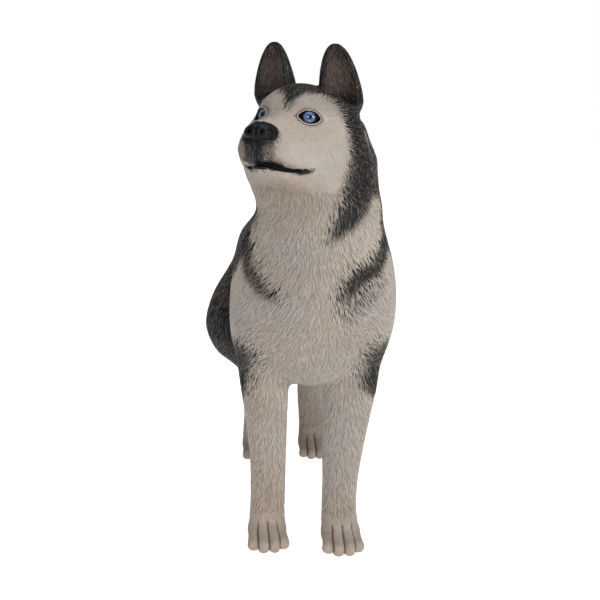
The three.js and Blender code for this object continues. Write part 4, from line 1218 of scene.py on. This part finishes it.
class HuskyPaint(bpy.types.PropertyGroup):
    pale: colour_property("Pale coat", "Base paint of the pale hair", (180, 170, 160))
    # The tan wash on the throat also stands as painted shade under the head
    tan: colour_property("Tan wash", "Wash over the lower legs and throat", (160, 136, 112))
    charcoal: colour_property("Charcoal", "Paint of the dark markings", (17, 15, 16))
    # The brown along the back also stands as a painted highlight where the dark coat faces up
    brown: colour_property("Brown", "Paint inside the ears and along the back", (108, 86, 74))
    bone: colour_property("Dry brush", "Light paint brushed over dark ridges", (164, 157, 151))
    cream: colour_property("Eyelid rim", "Paint of the eyelid rims", (170, 157, 143))
    nose: colour_property("Nose", "Paint of the nose leather", (8, 8, 8))


class HuskySkin(bpy.types.PropertyGroup):
    cell: bpy.props.FloatProperty(name="Grid", description="Grid cell of the skin, in millimetres",
                                  default=2.5, min=1.5, max=6)
    body_share: bpy.props.FloatProperty(name="Body detail", description="Share of the body triangles kept",
                                        subtype="FACTOR", default=0.3, min=0.05, max=1)


class HuskyCoat(bpy.types.PropertyGroup):
    length: bpy.props.FloatProperty(name="Length", description="Scale of the carved locks' length",
                                    subtype="FACTOR", default=1.0, min=0.3, max=2)
    height: bpy.props.FloatProperty(name="Height", description="Scale of the carved locks' height",
                                    subtype="FACTOR", default=1.0, min=0.2, max=2)
    spacing: bpy.props.FloatProperty(name="Spacing", description="Scale of the distance between locks",
                                     subtype="FACTOR", default=1.0, min=0.7, max=3)
    dry_brush: bpy.props.FloatProperty(name="Dry brush", description="Strength of the light on dark ridges",
                                       subtype="FACTOR", default=0.75, min=0, max=1)
    seed: bpy.props.IntProperty(name="Seed", description="Starting number of the scatter", default=7, min=0)


class HuskyEyes(bpy.types.PropertyGroup):
    iris_angle: bpy.props.FloatProperty(name="Iris edge", description="Angle of the iris edge, in degrees",
                                        default=32.5, min=15, max=50)
    gaze_left: bpy.props.FloatProperty(name="Left gaze", description="Outward turn, in degrees",
                                       default=32, min=-30, max=45)
    gaze_right: bpy.props.FloatProperty(name="Right gaze", description="Outward turn, in degrees",
                                        default=8, min=-30, max=45)
    iris: colour_property("Iris", "Base colour of the iris", (68, 89, 124))
    iris_light: colour_property("Iris rays", "Lighter rays of the iris", (94, 116, 150))
    iris_ring: colour_property("Iris ring", "Darker ring at the iris edge", (38, 52, 84))


class HuskyStage(bpy.types.PropertyGroup):
    floor: colour_property("Floor", "Colour of the floor", (246, 246, 246))
    glow: bpy.props.FloatProperty(name="Floor glow", description="Light given off by the floor",
                                  default=0.65, min=0, max=1)
    light: bpy.props.FloatProperty(name="Light", description="Power of the main light, in watts",
                                   default=27, min=0, max=1000)
    surround: bpy.props.FloatProperty(name="Surround", description="Strength of the surrounding light",
                                      default=0.28, min=0, max=5)
    lens: bpy.props.FloatProperty(name="Lens", description="Focal length of the camera, in millimetres",
                                  default=81.12, min=20, max=200)


# Operators

FLESH = ["torso", "neck", "head", "tail", "ear_left", "ear_right"] + [
    f"{pair}_{side}_{part}"
    for pair in ("fore", "hind") for side in ("left", "right") for part in ("leg", "paw")]
SHAPE = {}


def bedded_skin(points):
    """The skin with the bed that the nose sits in."""
    d = skin_field(points)
    f, s, u = to_head(points).T
    near = np.nonzero((f > 45) & (np.abs(s) < 45) & (u > -85) & (u < -10))[0]
    if len(near):
        nose = nose_field(f[near], s[near], u[near])
        d[near] = smooth_max(d[near], -(nose + 0.5), 1.6)
    return d


def face_detail(centres, level):
    """Triangles of the face that need a finer level."""
    f, s, u = to_head(centres).T
    _, out, _, almond = eye_places(f, s, u)
    eyes = (out > -8) & (almond < (16, 9)[level]) & (almond > -6)
    mouth = (f > -8) & (np.abs(u - mouth_line(f)) < (14, 6)[level]) & (u < -70)
    nose = np.abs(nose_field(f, s, u)) < (10, 4)[level]
    detail = eyes | mouth | (nose & (f > 40))
    if level == 0:
        detail |= (f > 40) & (u < -20) & (u > -112)
        detail |= (centres[:, 2] < 45)
    detail &= (centres[:, 2] > 560) | (level == 0)
    return detail | (toe_grooves(centres) > 0.1)


class HUSKY_OT_skin(bpy.types.Operator):
    """Builds the one skin of body, head, ears, tail and legs"""

    bl_idname = "husky.skin"
    bl_label = "Skin"

    def execute(self, context):
        size = context.scene.husky_skin
        points, quads = surface_of(bedded_skin, (-180, -400, -7), (180, 430, 890), size.cell)
        d1 = np.linalg.norm(points[quads[:, 0]] - points[quads[:, 2]], axis=1)
        d2 = np.linalg.norm(points[quads[:, 1]] - points[quads[:, 3]], axis=1)
        one_way = quads[:, [[0, 1, 2], [0, 2, 3]]]
        other_way = quads[:, [[0, 1, 3], [1, 2, 3]]]
        triangles = np.where((d1 <= d2)[:, None, None], one_way, other_way).reshape(-1, 3)
        for level in (0, 1):
            chosen = face_detail(points[triangles].mean(1), level)
            points, triangles = refined(points, triangles, chosen)
        points, _ = settled(bedded_skin, points)
        head = to_head(points)
        fine = (points[:, 2] > 600) & (head[:, 2] > -118) | (points[:, 2] < 50)
        piece = mesh_of("skin", to_metres(points), triangles)
        group = piece.vertex_groups.new(name="coarser")
        group.add(np.nonzero(~fine)[0].tolist(), 1.0, "REPLACE")
        share = 1 - (~fine).mean() * (1 - size.body_share)
        thin = piece.modifiers.new("fewer", "DECIMATE")
        thin.ratio = share
        thin.vertex_group = "coarser"
        thin.use_collapse_triangulate = True
        apply_modifiers(piece)
        piece.vertex_groups.clear()
        mesh = piece.data
        points = points_of(mesh) * 1000 + MIDDLE
        up = gradient_of(bedded_skin, points)
        up /= np.maximum(np.linalg.norm(up, axis=1), 1e-6)[:, None]
        SHAPE.update(points=points, triangles=triangles_of(mesh), normals=up)
        paint = markings(points, up)
        paint["tint"] = 0.5 + 0.25 * wander(points, 30, 12)
        for key, values in paint.items():
            write_attribute(mesh, key, values)
        mesh.materials.append(paint_material("painted skin", 0.25, 0.35))
        mesh.polygons.foreach_set("use_smooth", np.full(len(mesh.polygons), True))
        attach(piece, "root")
        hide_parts(*FLESH)
        return {"FINISHED"}


class HUSKY_OT_coat(bpy.types.Operator):
    """Lays the carved locks of hair over the skin"""

    bl_idname = "husky.coat"
    bl_label = "Carved coat"

    def execute(self, context):
        if not SHAPE:
            raise RuntimeError("the skin comes before the coat")
        size = context.scene.husky_coat
        rng = np.random.default_rng(size.seed)
        roots = scattered(SHAPE["points"], SHAPE["triangles"], rng, 0.4)
        roots, normals = settled(bedded_skin, roots, rounds=1)
        piece, kind = kind_of(roots, normals)
        table = np.array([HAIR[k] for k in sorted(HAIR)])[np.searchsorted(sorted(HAIR), kind)]
        f, s, u = to_head(roots).T
        _, out, _, almond = eye_places(f, s, u)
        clear = (out > -8) & (almond < 6.5)
        clear |= (f > 2) & (np.abs(u - mouth_line(f)) < 4.2) & (u < -70)
        clear |= (toe_grooves(roots) > 0.25) | ((u > 118) & (piece == "ears"))
        clear |= (nose_field(f, s, u) < 2.5) & (f > 30)
        clear |= roots[:, 2] < 9
        low = (roots[:, 2] < 26) & np.isin(piece, ("fore_legs", "hind_legs"))
        clear |= low & (rng.random(len(roots)) < 0.6)
        roots, normals, piece, table = (v[~clear] for v in (roots, normals, piece, table))
        keep = thinned(roots, table[:, 0] * size.spacing, rng)
        roots, normals, piece, table = (v[keep] for v in (roots, normals, piece, table))
        flow = lie_of(roots, normals)
        jitter = rng.uniform(0.8, 1.2, (len(roots), 3))
        sizes = table[:, 1:] * jitter * (size.length, 1.0, size.height)
        marks = markings(roots, normals)
        tint = np.clip(rng.normal(0.5, 0.25, len(roots)), 0, 1)
        for name in PIECES:
            here = np.nonzero(piece == name)[0]
            if len(here) == 0:
                continue
            self.lay(name, here, roots, normals, flow, sizes, marks, tint, rng, size)
        return {"FINISHED"}

    def lay(self, name, here, roots, normals, flow, sizes, marks, tint, rng, size):
        points, sound = locks(roots[here], normals[here], flow[here], sizes[here], rng)
        points, here = points[sound], here[sound]
        count = len(here)
        points[:, :, 2] = np.maximum(points[:, :, 2], 0.4)
        faces = (LOCK_FACES[None] + 11 * np.arange(count)[:, None, None]).reshape(-1, 3)
        tones = ("dark", "warm", "brown", "cream", "shade")
        spread = {key: np.repeat(marks[key][here], 11) for key in tones}
        spread["tint"] = np.repeat(tint[here], 11)
        spread["lift"] = np.tile(LOCK_LIFT, count)
        coat = mesh_of("coat_" + name, to_metres(points.reshape(-1, 3)), faces, spread)
        u, v = unwrapped(roots[here], normals[here], name)
        place = np.stack([u, v], 1)[:, None] + 0.003 * np.stack([LOCK_ACROSS, LOCK_ALONG], 1)[None]
        place = np.clip(place.reshape(-1, 2), 0.0005, 0.9995)
        layer = coat.data.uv_layers.new(name="OFBake")
        corners = triangles_of(coat.data).ravel()
        layer.data.foreach_set("uv", place[corners].astype(np.float32).ravel())
        coat.data.materials.append(paint_material("painted locks", size.dry_brush, 0.2))
        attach(coat, "root")
        slots = {"ears": "ears", "tail": "tail", "fore_legs": "legs", "hind_legs": "legs"}
        slots.get(name, "coat")


def lathe_eye(name, side, gaze):
    """An eyeball with a raised cornea, turned about the way it looks."""
    rings = np.concatenate([np.linspace(0, 60, 61)[1:], np.linspace(60, 100, 15)[1:]])
    spokes = 72
    r = EYE["radius"]
    rise = 0.9 * smooth_step(37, 22, rings) - 0.25 * ridge((rings - 35) / 3)
    radius = r + rise
    turn = np.radians(rings)
    angles = np.arange(spokes) * 2 * math.pi / spokes
    along = np.repeat(radius * np.cos(turn), spokes)
    across = np.repeat(radius * np.sin(turn), spokes)
    cos, sin = np.tile(np.cos(angles), len(rings)), np.tile(np.sin(angles), len(rings))
    local = np.stack([along, across * cos, across * sin], 1)
    local = np.concatenate([[[r + 0.9, 0, 0]], local, [[-r * 0.35, 0, 0]]])
    faces = [(0, 1 + (j + 1) % spokes, 1 + j) for j in range(spokes)]
    for i in range(len(rings) - 1):
        for j in range(spokes):
            a, b = 1 + i * spokes + j, 1 + i * spokes + (j + 1) % spokes
            faces += [(a, b, b + spokes), (a, b + spokes, a + spokes)]
    last = 1 + (len(rings) - 1) * spokes
    faces += [(last + j, last + (j + 1) % spokes, len(local) - 1) for j in range(spokes)]
    turn = math.radians(gaze)
    forward = HEAD_AXES[0] * math.cos(turn) + side * HEAD_AXES[1] * math.sin(turn)
    up = HEAD_AXES[2]
    left = np.cross(up, forward)
    centre = from_head(EYE["forward"], EYE["side"] * side, EYE["up"])
    points = centre + local @ np.array([forward, left, up])
    ring = np.concatenate([[0], np.repeat(rings, spokes), [180]])
    eye = mesh_of(name, to_metres(points), np.array(faces)[:, ::-1], {"ring": ring})
    spoke = np.stack([cos, sin, np.repeat(rings, spokes) / 60], 1)
    spoke = np.concatenate([[[0, 0, 0]], spoke, [[0, 0, 3]]])
    attribute = eye.data.attributes.new("spoke", "FLOAT_VECTOR", "POINT")
    attribute.data.foreach_set("vector", spoke.astype(np.float32).ravel())
    return eye


class HUSKY_OT_eyes(bpy.types.Operator):
    """Turns the two painted eyeballs and sets them behind the lids"""

    bl_idname = "husky.eyes"
    bl_label = "Eyes"

    def execute(self, context):
        look = context.scene.husky_eyes
        material = eye_material()
        for name, side, gaze in (("eye_left", 1, look.gaze_left), ("eye_right", -1, look.gaze_right)):
            eye = lathe_eye("painted_" + name, side, gaze)
            eye.data.materials.append(material)
            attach(eye, "root")
            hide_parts(name)
        return {"FINISHED"}


class HUSKY_OT_nose(bpy.types.Operator):
    """Models the nose leather with its nostrils and middle groove"""

    bl_idname = "husky.nose"
    bl_label = "Nose"

    def execute(self, context):
        def field(points):
            return nose_field(*points.T)

        points, quads = surface_of(field, (56, -36, -76), (110, 36, -16), 0.8)
        points, _ = settled(field, points, rounds=1, limit=0.4)
        points = HEAD_AT + points @ HEAD_AXES
        nose = mesh_of("nose_leather", to_metres(points), quads)
        nose.data.materials.append(nose_material())
        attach(nose, "root")
        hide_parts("nose")
        return {"FINISHED"}


# Name, place and size in metres, and share of the main light's power
LAMPS = (
    ("key", (-0.2, -2.8, 1.75), 0.4, 0.85),
    ("side", (1.7, -1.9, 1.5), 0.5, 0.7),
    ("top", (0.2, -0.6, 3.0), 2.0, 1.0),
    ("low", (0.1, -2.6, 0.35), 1.2, 0.4),
)


class HUSKY_OT_stage(bpy.types.Operator):
    """Sets the pale floor, the soft studio light and the camera"""

    bl_idname = "husky.stage"
    bl_label = "Stage"

    def execute(self, context):
        stage = context.scene.husky_stage
        floor = mesh_of("floor", np.array([(-6, -6, 0), (6, -6, 0), (6, 8, 0), (-6, 8, 0)], float),
                        np.array([(0, 1, 2, 3)]))
        material, tree = new_material("pale floor")
        tone = blend(tree, noise(tree, 3), stage.floor, tuple(c * 0.97 for c in stage.floor))
        straight = node(tree, "ShaderNodeLightPath").outputs["Is Camera Ray"]
        glow = plus(tree, times(tree, straight, 1.0 - stage.glow), stage.glow)
        shader = node(tree, "ShaderNodeBsdfPrincipled", {
            "Base Color": tone, "Roughness": 0.9, "Emission Color": tone, "Emission Strength": glow})
        node(tree, "ShaderNodeOutputMaterial", {"Surface": shader.outputs[0]})
        floor.data.materials.append(material)
        world = bpy.data.worlds.new("studio")
        world.use_nodes = True
        tree = world.node_tree
        seen = node(tree, "ShaderNodeLightPath").outputs["Is Camera Ray"]
        spread = minus(tree, 1.0, stage.surround)
        strength = plus(tree, times(tree, seen, spread), stage.surround)
        tree.links.new(strength, tree.nodes["Background"].inputs["Strength"])
        tree.nodes["Background"].inputs["Color"].default_value = (1, 1, 1, 1)
        context.scene.world = world
        context.scene.view_settings.view_transform = "Standard"
        for name, place, size, share in LAMPS:
            data = bpy.data.lights.new(name, "AREA")
            data.energy = stage.light * share
            data.size = size
            lamp = bpy.data.objects.new(name, data)
            lamp.location = place
            aim = Vector((0, -0.1, 0.5)) - lamp.location
            lamp.rotation_euler = aim.to_track_quat("-Z", "Y").to_euler()
            context.scene.collection.objects.link(lamp)
        data = bpy.data.cameras.new("camera")
        data.sensor_width = 36
        data.lens = stage.lens
        camera = bpy.data.objects.new("camera", data)
        camera.location = (-0.2683, -2.4719, 0.872)
        camera.rotation_euler = (math.radians(90 - 11), 0, math.radians(-6.5))
        context.scene.collection.objects.link(camera)
        context.scene.camera = camera
        return {"FINISHED"}


class HUSKY_PT_panel(bpy.types.Panel):
    bl_label = "Husky statue"
    bl_idname = "HUSKY_PT_panel"
    bl_space_type = "VIEW_3D"
    bl_region_type = "UI"
    bl_category = "Husky"

    def draw(self, context):
        scene = context.scene
        for label, group, operators in (
            ("Skin", scene.husky_skin, ("husky.skin",)),
            ("Coat", scene.husky_coat, ("husky.coat",)),
            ("Eyes", scene.husky_eyes, ("husky.eyes",)),
            ("Paint", scene.husky_paint, ("husky.nose",)),
            ("Stage", scene.husky_stage, ("husky.stage",)),
        ):
            box = self.layout.box()
            box.label(text=label)
            for key in group.bl_rna.properties.keys():
                if key not in ("rna_type", "name"):
                    box.prop(group, key)
            for operator in operators:
                box.operator(operator)


CLASSES = (
    HuskyPaint, HuskySkin, HuskyCoat, HuskyEyes, HuskyStage,
    HUSKY_OT_stage, HUSKY_OT_skin, HUSKY_OT_coat, HUSKY_OT_eyes, HUSKY_OT_nose,
    HUSKY_PT_panel,
)
GROUPS = {"husky_paint": HuskyPaint, "husky_skin": HuskySkin, "husky_coat": HuskyCoat,
          "husky_eyes": HuskyEyes, "husky_stage": HuskyStage}


def register():
    for cls in CLASSES:
        bpy.utils.register_class(cls)
    for key, cls in GROUPS.items():
        setattr(bpy.types.Scene, key, bpy.props.PointerProperty(type=cls))


def unregister():
    for key in GROUPS:
        delattr(bpy.types.Scene, key)
    for cls in reversed(CLASSES):
        bpy.utils.unregister_class(cls)


def main():
    register()
    bpy.ops.husky.stage()
    bpy.ops.husky.skin()
    bpy.ops.husky.coat()
    bpy.ops.husky.eyes()
    bpy.ops.husky.nose()


if __name__ == "__main__":
    main()
